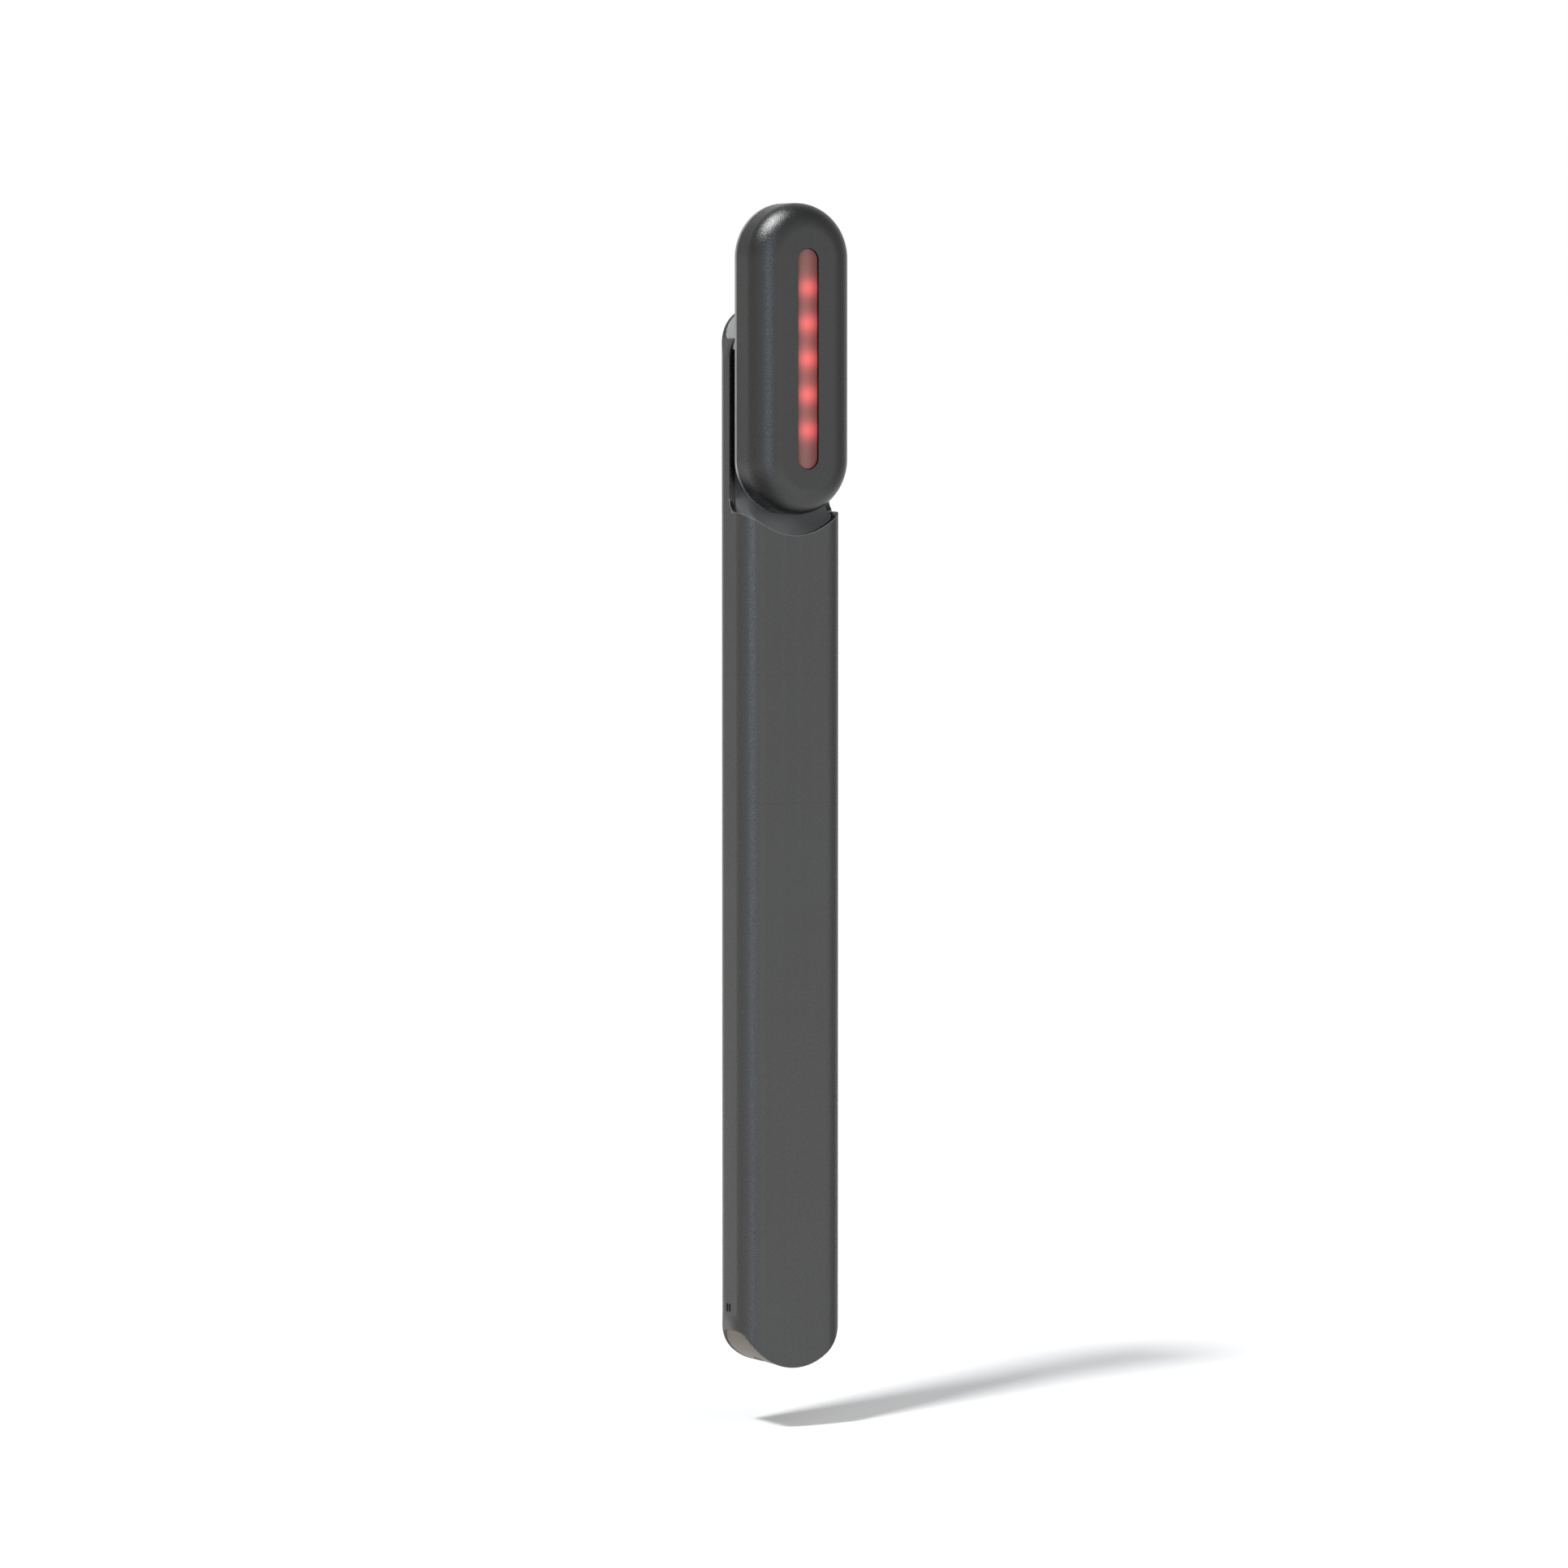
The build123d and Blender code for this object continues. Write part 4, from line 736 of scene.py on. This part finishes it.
class WAND_OT_tube(WandPiece, bpy.types.Operator):
    """Handle tube with round ends, the milled recess for the head and the tongue behind it"""

    bl_idname = "wand.tube"
    bl_label = "Handle tube"

    # Heights of the two hairlines across the front, in metres.
    HAIRLINES = (0.0252, 0.0053)
    EDGE_METALLIC = 0.6

    def build(self, size):
        end = size.tube_length / 2
        beyond = end + size.tube_wall
        tube = inner_bar("tube_skin", size, 0.0, -end, end)
        combine(tube, round_ends(size), "INTERSECT")
        floor = size.pivot - size.cradle_drop
        lip = size.pivot + size.lip_rise
        tongue = (size.tongue_front, floor, lip, size.cradle_corner, size.lip_round)
        combine(tube, cradle_tool(size, *tongue))
        combine(tube, cradle_tool(size, size.lip_front, floor, beyond, 0.0))
        combine(tube, inner_bar("bore_tool", size, size.tube_wall, -beyond, beyond))
        lower_seat = (-beyond, -end + size.plug_height)
        upper_seat = (size.pivot + size.scoop_rise, beyond)
        for seat in (lower_seat, upper_seat):
            combine(tube, inner_bar("seat_tool", size, size.seat_wall, *seat))
        tidy(tube)
        metal = blasted_metal("gunmetal_handle", shade("metal"), self.HAIRLINES)
        edge = worn_metal("gunmetal_edge", shade("edge"), self.EDGE_METALLIC)
        tube.data.materials.append(metal)
        tube.data.materials.append(edge)
        # The bevels take the paler edge finish: partly wear, partly painted highlight.
        break_edges(tube, size.edge_break, wear_and_highlight_slot=1)
        self.wear_and_highlight_round_cradle(tube, floor + size.scoop_foot)
        hole = charge_bar("hole_tool", size, size.plug_fit, -size.tube_wall)
        for tool in (hole, copied(hole, "hole_tool", 0, size.bar_pitch, 0)):
            combine(tube, tool)
        smooth(tube)
        complete(tube, "handle", [metal], "gunmetal", "handle_tube")

    def wear_and_highlight_round_cradle(self, tube, shoulder):
        """Plain metal again on the broken edges that lie below the cradle or above it, so that the paler bevels,
        partly worn anodising and partly painted highlight, stay round the cradle.
        """
        with editing(tube):
            pick(
                "FACE",
                lambda face: face.material_index == 1
                and not 0 < max(places(face, Z)) < shoulder,
            )
            tube.active_material_index = 0
            bpy.ops.object.material_slot_assign()


class WAND_OT_plugs(WandPiece, bpy.types.Operator):
    """Pale plugs in the two round ends, the lower one with the hole for the charging socket"""

    bl_idname = "wand.plugs"
    bl_label = "End plugs"

    ROUGHNESS = 0.42

    def build(self, size):
        end = size.tube_length / 2
        inset = size.seat_wall + size.plug_fit
        lower = inner_bar("lower_plug", size, inset, -end, -end + size.plug_height)
        combine(lower, round_ends(size, size.plug_inset), "INTERSECT")
        half_width, half_depth = size.socket_width / 2, size.socket_depth / 2
        low = (-half_width, -half_depth, -end - size.tube_wall)
        high = (half_width, half_depth, -end + size.plug_height + size.tube_wall)
        combine(lower, bar("socket_tool", low, high, corner=half_depth))
        upper_low = size.pivot + size.scoop_rise + size.plug_fit
        upper = inner_bar("upper_plug", size, inset, upper_low, end)
        combine(upper, round_ends(size, size.plug_inset), "INTERSECT")
        wide, deep = size.tube_width, size.tube_depth
        front = ((-wide, -deep, 0), (wide, size.lip_front, 2 * end))
        combine(upper, bar("front_tool", *front))
        boss = size.boss_radius + size.plug_fit
        combine(upper, disc("boss_tool", boss, -deep, deep, z=size.pivot))
        # The lower plug's darker colour is partly painted shade.
        for plug, node, tone in ((lower, "bottom_cap", "low_plug"), (upper, "top_cap", "plug")):
            tidy(plug)
            soften(plug, size.edge_break)
            finish = moulded(f"{tone}_plastic", shade(tone), self.ROUGHNESS)
            complete(plug, "handle", [finish], "cap_taupe", node)


class WAND_OT_scoop(WandPiece, bpy.types.Operator):
    """Plastic scoop that lines the recess and carries the swivel and its stop pin"""

    bl_idname = "wand.scoop"
    bl_label = "Cradle scoop"

    ROUGHNESS = 0.36
    RELIEF = 0.2
    PAINTED_LIGHT_X = -0.0012
    PAINTED_LIGHT_REACH = 0.0042

    def build(self, size):
        floor = size.pivot - size.cradle_drop
        low, top = floor - size.scoop_foot, size.pivot + size.scoop_rise
        back = size.tube_depth / 2 - size.tube_wall - size.scoop_fit
        beyond = size.tube_depth
        scoop = inner_bar("scoop", size, size.tube_wall + size.scoop_fit, low, top)
        hollow = (size.scoop_face, floor - size.scoop_step, top + beyond, size.scoop_round)
        combine(scoop, cradle_tool(size, *hollow))
        pin_z = size.pivot - size.stop_reach
        boss = (size.boss_radius, size.boss_front, back, 0, size.pivot)
        combine(scoop, disc("boss", *boss), "UNION")
        pin = (size.stop_boss, size.boss_front, size.sensor_front, 0, pin_z)
        combine(scoop, disc("pin_boss", *pin), "UNION")
        for radius, front, z in (
            (size.bush_radius, -beyond, size.pivot),
            (size.clip_radius, size.clip_front, size.pivot),
            (size.stop_radius, -beyond, pin_z),
        ):
            combine(scoop, disc("bore_tool", radius, front, beyond, 0, z))
        half = size.ribbon_width / 2
        low_corner = (-half, size.sensor_front, low - size.tube_wall)
        combine(scoop, bar("channel_tool", low_corner, (half, beyond, size.pivot)))
        tidy(scoop)
        break_edges(scoop, size.edge_break, SCOOP_SHARP_ANGLE)
        with editing(scoop):
            bpy.ops.mesh.select_all(action="SELECT")
            bpy.ops.mesh.fill_holes(sides=0)
            merge_points()
        smooth(scoop)
        # Painted light: the scoop is painted paler round the bottom of the cradle, where light falls on its lip.
        painted_light = (self.PAINTED_LIGHT_X, floor / PER_METRE, self.PAINTED_LIGHT_REACH)
        look = {"roughness": self.ROUGHNESS, "relief": self.RELIEF, "painted_light": painted_light}
        finish = moulded("scoop_plastic", shade("scoop"), **look)
        complete(scoop, "handle", [finish], "insert_plastic", "cradle_insert")


class WAND_OT_charge_bars(WandPiece, bpy.types.Operator):
    """Two smoked charge windows in the left side of the handle"""

    bl_idname = "wand.charge_bars"
    bl_label = "Charge bars"

    LOOK = {"roughness": 0.5, "relief": 0.05, "gloss": 0.15}

    def build(self, size):
        finish = moulded("smoked_window", shade("bar"), **self.LOOK)
        front = charge_bar("charge_bar_front", size, front=size.plug_fit)
        soften(front, size.edge_break, BAR_BREAK_STEPS)
        rear = copied(front, "charge_bar_rear", 0, size.bar_pitch, 0)
        for piece in (front, rear):
            complete(piece, "handle", [finish], "smoked_plastic", "indicator_bars")


class WAND_OT_shell(WandPiece, bpy.types.Operator):
    """Metal shell of the head with its rounded front edge and the slot of the light window"""

    bl_idname = "wand.shell"
    bl_label = "Head shell"

    DARKER = 0.79

    def build(self, size):
        back = size.head_back - size.plate_thickness
        outline = (size.head_width, size.head_length, size.head_front, back, size.pivot)
        shell = stadium("head_skin", *outline)
        flat_width = size.head_width - 2 * size.head_round
        flat_length = size.head_length - 2 * size.head_round
        margin = (flat_width - size.window_width) / 2
        shorten = (flat_length - 2 * margin - size.window_length) / 2
        with editing(shell):
            pick("EDGE", lambda edge: lies_at(edge, Y, size.head_front))
            round_off(size.head_round, HEAD_ROUND_STEPS)
            pick("FACE", lambda face: lies_at(face, Y, size.head_front))
            bpy.ops.mesh.inset(thickness=margin, depth=0)
            bpy.ops.mesh.delete(type="ONLY_FACE")
            inside = size.window_width / 2 + SAME_PLACE
            reach = (flat_length - margin) / 2

            def at_window_end(vertex, side):
                x, y, z = vertex.co
                in_front = abs(y - size.head_front) < SAME_PLACE and abs(x) < inside
                return in_front and 0 < side * (z - size.pivot) < reach

            for side in (-1, 1):
                pick("VERT", lambda vertex: at_window_end(vertex, side))
                bpy.ops.transform.translate(value=(0, 0, -side * shorten))
            pick("FACE", lambda face: lies_at(face, Y, back))
            bpy.ops.mesh.delete(type="ONLY_FACE")
        apply_modifier(
            shell, "SOLIDIFY", thickness=size.head_wall, offset=-1, use_even_offset=True
        )
        metal = blasted_metal("gunmetal_head", scaled(shade("metal"), self.DARKER))
        soften(shell, size.window_break)
        complete(shell, "head", [metal], "gunmetal", "head_shell")


class WAND_OT_back_plate(WandPiece, bpy.types.Operator):
    """Satin plate behind the head, with the half round slot that the stop pin runs in"""

    bl_idname = "wand.back_plate"
    bl_label = "Back plate"

    WEAR = 0.06

    def build(self, size):
        front, back = size.head_back - size.plate_thickness, size.head_back
        outline = (size.head_width, size.head_length, front, back, size.pivot)
        plate = stadium("back_plate_skin", *outline)
        through = (front - size.tube_depth, back + size.tube_depth)
        combine(plate, disc("hole_tool", size.shaft_radius, *through, 0, size.pivot))
        for index in range(FLANGE_SCREWS):
            angle = math.tau * index / FLANGE_SCREWS
            x = size.screw_circle * math.sin(angle)
            z = size.pivot + size.screw_circle * math.cos(angle)
            combine(plate, disc("hole_tool", size.screw_radius, *through, x, z))
        combine(plate, self.slot_tool(size, *through))
        for side in (-1, 1):
            x = side * size.stop_reach
            combine(plate, disc("hole_tool", size.stop_slot, *through, x, size.pivot))
        tidy(plate)
        soften(plate, size.edge_break)
        satin = worn_metal("plate_satin", shade("plate"), wear=self.WEAR)
        complete(plate, "head", [satin], "plate_satin", "head_back_plate")

    def slot_tool(self, size, front, back):
        """Half ring below the swivel axis."""
        outer = size.stop_reach + size.stop_slot
        ring = disc("slot_tool", outer, front, back, z=size.pivot)
        inner = size.stop_reach - size.stop_slot
        low_y, high_y = front - size.tube_depth, back + size.tube_depth
        combine(ring, disc("core_tool", inner, low_y, high_y, z=size.pivot))
        low = (-size.tube_width, low_y, size.pivot - 2 * outer)
        high = (size.tube_width, high_y, size.pivot)
        return combine(ring, bar("half_tool", low, high), "INTERSECT")


class WAND_OT_lens(WandPiece, bpy.types.Operator):
    """Frosted diffuser bar in the light window, lit by the five lights behind it"""

    bl_idname = "wand.lens"
    bl_label = "Window lens"

    def build(self, size):
        width = size.window_width + 2 * size.lens_margin
        height = size.window_length + 2 * size.lens_margin
        flange = (size.lens_flange, size.lens_back, size.pivot)
        lens = stadium("lens_bar", width, height, *flange, steps=LENS_END_STEPS)
        front = size.head_front + size.lens_recess
        with editing(lens):
            pick("FACE", lambda face: lies_at(face, Y, size.lens_flange))
            bpy.ops.mesh.inset(thickness=size.lens_margin + size.lens_fit, depth=0)
            extrude(0, front + size.lens_crown - size.lens_flange, 0)
            half = size.window_width / 2 - size.lens_fit
            reached = 0.0
            for step in range(1, CROWN_STEPS + 1):
                angle = step / (CROWN_STEPS + 1) * math.pi / 2
                across = half * (1 - math.cos(angle))
                rise = size.lens_crown * (math.sin(angle) - math.sin(angle - angle / step))
                bpy.ops.mesh.inset(thickness=across - reached, depth=rise)
                reached = across
        smooth(lens)
        pitch = size.light_pitch / PER_METRE
        finish = lit_lens("lens_frosted", shade("lens"), shade("light"), pitch)
        complete(lens, "head", [finish], "lens_diffuser", "window_lens")


class WAND_OT_cad_finishes(WandPiece, bpy.types.Operator):
    """Finishes for the CAD pieces that stay as they are: swivel, socket and inner parts"""

    bl_idname = "wand.cad_finishes"
    bl_label = "Finishes of the CAD pieces"

    METALS = {
        "screw_steel": (0.42, 0.42, 0.43),
        "socket_steel": (0.50, 0.50, 0.50),
        "battery_foil": (0.55, 0.56, 0.58),
        "motor_steel": (0.50, 0.50, 0.52),
        "shaft_steel": (0.45, 0.45, 0.47),
        "weight_metal": (0.22, 0.22, 0.23),
        "bush_bronze": (0.44, 0.27, 0.11),
        "washer_steel": (0.35, 0.35, 0.36),
        "magnet_nickel": (0.60, 0.58, 0.55),
    }
    MOULDED = {
        "chassis_plastic": (0.014, 0.014, 0.016),
        "circuit_board": (0.01, 0.07, 0.03),
        "led_board_white": (0.70, 0.71, 0.68),
        "chip_black": (0.008, 0.008, 0.009),
        "led_white": (0.75, 0.70, 0.55),
        "foam_black": (0.01, 0.01, 0.01),
        "lead_red": (0.25, 0.01, 0.01),
        "boot_rubber": (0.012, 0.012, 0.013),
        "ribbon_film": (0.42, 0.18, 0.03),
        "plug_ivory": (0.68, 0.62, 0.48),
        "reflector_white": (0.80, 0.80, 0.78),
        "film_amber": (0.38, 0.14, 0.02),
    }

    def build(self, size):
        finishes = {}
        for kind, tones in ((worn_metal, self.METALS), (moulded, self.MOULDED)):
            for name, tone in tones.items():
                finishes[name] = kind(f"{name}_finish", (*tone, 1.0))
        pitch, red = size.light_pitch / PER_METRE, shade("light")
        finishes["led_red"] = lit_lens("led_red_finish", red, red, pitch)
        for row in frame["record"]["subparts"]:
            node = frame["nodes"][row["node"]]
            if row["material_slot"] in finishes and not node.hide_render:
                node.data.materials[0] = finishes[row["material_slot"]]


class WAND_OT_stage(WandPiece, bpy.types.Operator):
    """White floor and surroundings, the lamps and the camera at the photographed angle"""

    bl_idname = "wand.stage"
    bl_label = "Studio"

    CAMERA_AZIMUTH = -29
    CAMERA_ELEVATION = 3.5
    CAMERA_DISTANCE = 1.03539
    CAMERA_LENS = 153.8
    CAMERA_AIM_Z = 0.0082
    FRAME_RIGHT = 0.00059
    FRAME_UP = -0.00025
    NEAREST = 0.01
    FARTHEST = 100.0

    FLOOR_SIDE = 12.0
    FLOOR_WHITE = (0.94, 0.94, 0.93, 1.0)
    PLAIN = (1.0, 1.0, 1.0)
    WARM = (1.0, 0.985, 0.95)
    BLUE = (0.6, 0.73, 1.0)
    SUNS = (
        dict(name="key_light", azimuth=-66.5, elevation=60, spread=7.5, strength=2.35),
        dict(name="front_fill", azimuth=0, elevation=30, spread=90.0, strength=1.25),
    )
    SOFTBOXES = (
        dict(
            name="top_softbox",
            azimuth=-90,
            elevation=68,
            distance=0.8,
            sides=(0.42, 0.42),
            power=6.5,
            tint=PLAIN,
        ),
        dict(
            name="strip_softbox",
            azimuth=-37,
            elevation=9,
            distance=1.0,
            sides=(0.04, 1.1),
            power=1.65,
            tint=BLUE,
        ),
    )

    # Light round the wand: an azimuth in degrees, the level there and its tint.
    WALLS = (
        (-180, 0.7, PLAIN),
        (-150, 0.42, WARM),
        (-98, 0.48, WARM),
        (-75, 0.66, PLAIN),
        (-50, 0.54, PLAIN),
        (-20, 0.58, PLAIN),
        (30, 0.9, PLAIN),
        (46, 0.52, PLAIN),
        (85, 0.4, PLAIN),
        (115, 0.65, PLAIN),
        (150, 0.85, PLAIN),
        (180, 0.7, PLAIN),
    )
    FLOOR_LIGHT = (
        (-180, 1.0, PLAIN),
        (-150, 0.9, WARM),
        (-98, 0.82, WARM),
        (-75, 1.02, PLAIN),
        (-50, 0.86, PLAIN),
        (-20, 0.9, PLAIN),
        (30, 1.26, PLAIN),
        (46, 0.5, PLAIN),
        (85, 0.35, PLAIN),
        (115, 0.65, PLAIN),
        (150, 0.9, PLAIN),
        (180, 1.0, PLAIN),
    )
    BELOW = (
        (-180, 0.6, PLAIN),
        (-150, 0.28, PLAIN),
        (-70, 0.28, PLAIN),
        (-25, 0.8, PLAIN),
        (30, 0.95, PLAIN),
        (150, 0.95, PLAIN),
        (180, 0.6, PLAIN),
    )
    CEILING = (0.11, 0.115, 0.13, 1.0)
    WHITE = (1.0, 1.0, 1.0, 1.0)

    # How fast a direction's height fades from one kind of light to the next.
    FLOOR_RISE = 7.0
    BELOW_RISE = 4.0
    BELOW_START = 1.0
    CEILING_FALL = 0.8
    GLOSSY_SHARE = 0.1

    def build(self, size):
        self.floor(size)
        self.world()
        for lamp in self.SUNS:
            self.sun(**lamp)
        for box in self.SOFTBOXES:
            self.softbox(**box)
        self.camera()
        bpy.context.scene.view_settings.view_transform = "Standard"

    @staticmethod
    def direction(azimuth, elevation):
        """Unit vector from the wand towards a lamp or the camera, given in degrees."""
        azimuth, elevation = math.radians(azimuth), math.radians(elevation)
        flat = math.cos(elevation)
        return Vector(
            (math.sin(azimuth) * flat, -math.cos(azimuth) * flat, math.sin(elevation))
        )

    def floor(self, size):
        """White floor that takes the shadow and isn't mirrored in the wand."""
        leave_edit()
        z = -(size.tube_length / 2 + size.floor_gap) / PER_METRE
        bpy.ops.mesh.primitive_plane_add(size=self.FLOOR_SIDE, location=(0, 0, z))
        floor = fix_place(bpy.context.object, "studio_floor")
        finish = Finish("floor_white", Base_Color=self.FLOOR_WHITE, Roughness=1.0)
        finish.set(Specular_IOR_Level=0.0)
        floor.data.materials.append(finish.material)
        floor.visible_glossy = False

    def world(self):
        """White to the camera; to the wand, soft light whose level changes all round."""
        world = bpy.data.worlds.new("studio_world")
        bpy.context.scene.world = world
        world.use_nodes = True
        sky = Nodes(world.node_tree, "Generated")
        x, y, z = (sky.axis(name) for name in "XYZ")
        turn = x.math("ARCTAN2", x, y * -1.0) / math.tau + 0.5
        walls = self.ring(sky, turn, self.WALLS)
        floor = self.ring(sky, turn, self.FLOOR_LIGHT)
        below = self.ring(sky, turn, self.BELOW)
        camera, through, glossy = (
            sky.add("ShaderNodeLightPath", f"Is {kind} Ray")
            for kind in ("Camera", "Transmission", "Glossy")
        )
        low = sky.mix((z * -self.FLOOR_RISE).clamped(), walls, floor)
        deep = sky.mix((z * -self.BELOW_RISE - self.BELOW_START).clamped(), low, below)
        high = sky.mix(z.clamped() * self.CEILING_FALL, deep, self.CEILING)
        white_share = (camera + through + glossy * self.GLOSSY_SHARE).clamped()
        background = sky.tree.nodes["Background"]
        Value(background.inputs["Color"]).plug(sky.mix(white_share, high, self.WHITE))
        background.inputs["Strength"].default_value = 1.0

    def ring(self, sky, turn, levels):
        """Light levels by azimuth, smoothly joined."""
        stops = [
            (azimuth / 360 + 0.5, (*(level * part for part in tint), 1.0))
            for azimuth, level, tint in levels
        ]
        return sky.add("ShaderNodeValToRGB", 0, {"stops": stops}, i0=turn)

    def sun(self, name, azimuth, elevation, spread, strength):
        """A far lamp that lights the plain surfaces and gives the shadow."""
        lamp = bpy.data.lights.new(name, "SUN")
        lamp.energy = strength
        lamp.angle = math.radians(spread)
        lamp.color = shade("key")[:3]
        self.hang(lamp, self.direction(azimuth, elevation)).visible_glossy = False

    def softbox(self, name, azimuth, elevation, distance, sides, power, tint):
        """A panel whose light shows as a soft highlight on the metal."""
        lamp = bpy.data.lights.new(name, "AREA")
        lamp.shape = "RECTANGLE"
        lamp.size, lamp.size_y = sides
        lamp.energy = power
        lamp.color = tint
        self.hang(lamp, self.direction(azimuth, elevation) * distance).visible_diffuse = False

    def hang(self, lamp, place):
        """Put a lamp at a place, shining at the wand."""
        holder = bpy.data.objects.new(lamp.name, lamp)
        holder.rotation_euler = place.to_track_quat("Z", "Y").to_euler()
        holder.location = place
        bpy.context.scene.collection.objects.link(holder)
        return holder

    def camera(self):
        """Camera at the photographed angle, nudged so that the wand stands as it does there."""
        data = bpy.data.cameras.new("camera")
        data.lens = self.CAMERA_LENS
        data.clip_start, data.clip_end = self.NEAREST, self.FARTHEST
        camera = bpy.data.objects.new("camera", data)
        back = self.direction(self.CAMERA_AZIMUTH, self.CAMERA_ELEVATION)
        turn = back.to_track_quat("Z", "Y")
        aim = Vector((0, 0, self.CAMERA_AIM_Z))
        nudge = turn @ Vector((self.FRAME_RIGHT, self.FRAME_UP, 0))
        camera.location = aim + back * self.CAMERA_DISTANCE + nudge
        camera.rotation_euler = turn.to_euler()
        bpy.context.scene.collection.objects.link(camera)
        bpy.context.scene.camera = camera


OPERATORS = (
    WAND_OT_tube,
    WAND_OT_plugs,
    WAND_OT_scoop,
    WAND_OT_charge_bars,
    WAND_OT_shell,
    WAND_OT_back_plate,
    WAND_OT_lens,
    WAND_OT_cad_finishes,
    WAND_OT_stage,
)


class WAND_PT_panel(bpy.types.Panel):
    """Builds the wand piece by piece"""

    bl_idname = "WAND_PT_panel"
    bl_label = "Light Therapy Wand"
    bl_space_type = "VIEW_3D"
    bl_region_type = "UI"
    bl_category = "Wand"

    def draw(self, context):
        for operator in OPERATORS:
            self.layout.operator(operator.bl_idname)
        for title, group, properties in (
            ("Sizes", context.scene.wand_sizes, WandSizes),
            ("Colours", context.scene.wand_colours, WandColours),
        ):
            box = self.layout.box()
            box.label(text=title)
            for name in properties.__annotations__:
                box.prop(group, name)


CLASSES = (WandSizes, WandColours, *OPERATORS, WAND_PT_panel)


def register():
    for item in CLASSES:
        bpy.utils.register_class(item)
    bpy.types.Scene.wand_sizes = PointerProperty(type=WandSizes)
    bpy.types.Scene.wand_colours = PointerProperty(type=WandColours)


def unregister():
    del bpy.types.Scene.wand_colours
    del bpy.types.Scene.wand_sizes
    for item in reversed(CLASSES):
        bpy.utils.unregister_class(item)


def main():
    register()
    for operator in OPERATORS:
        group, name = operator.bl_idname.split(".")
        getattr(getattr(bpy.ops, group), name)()


if __name__ == "__main__":
    main()
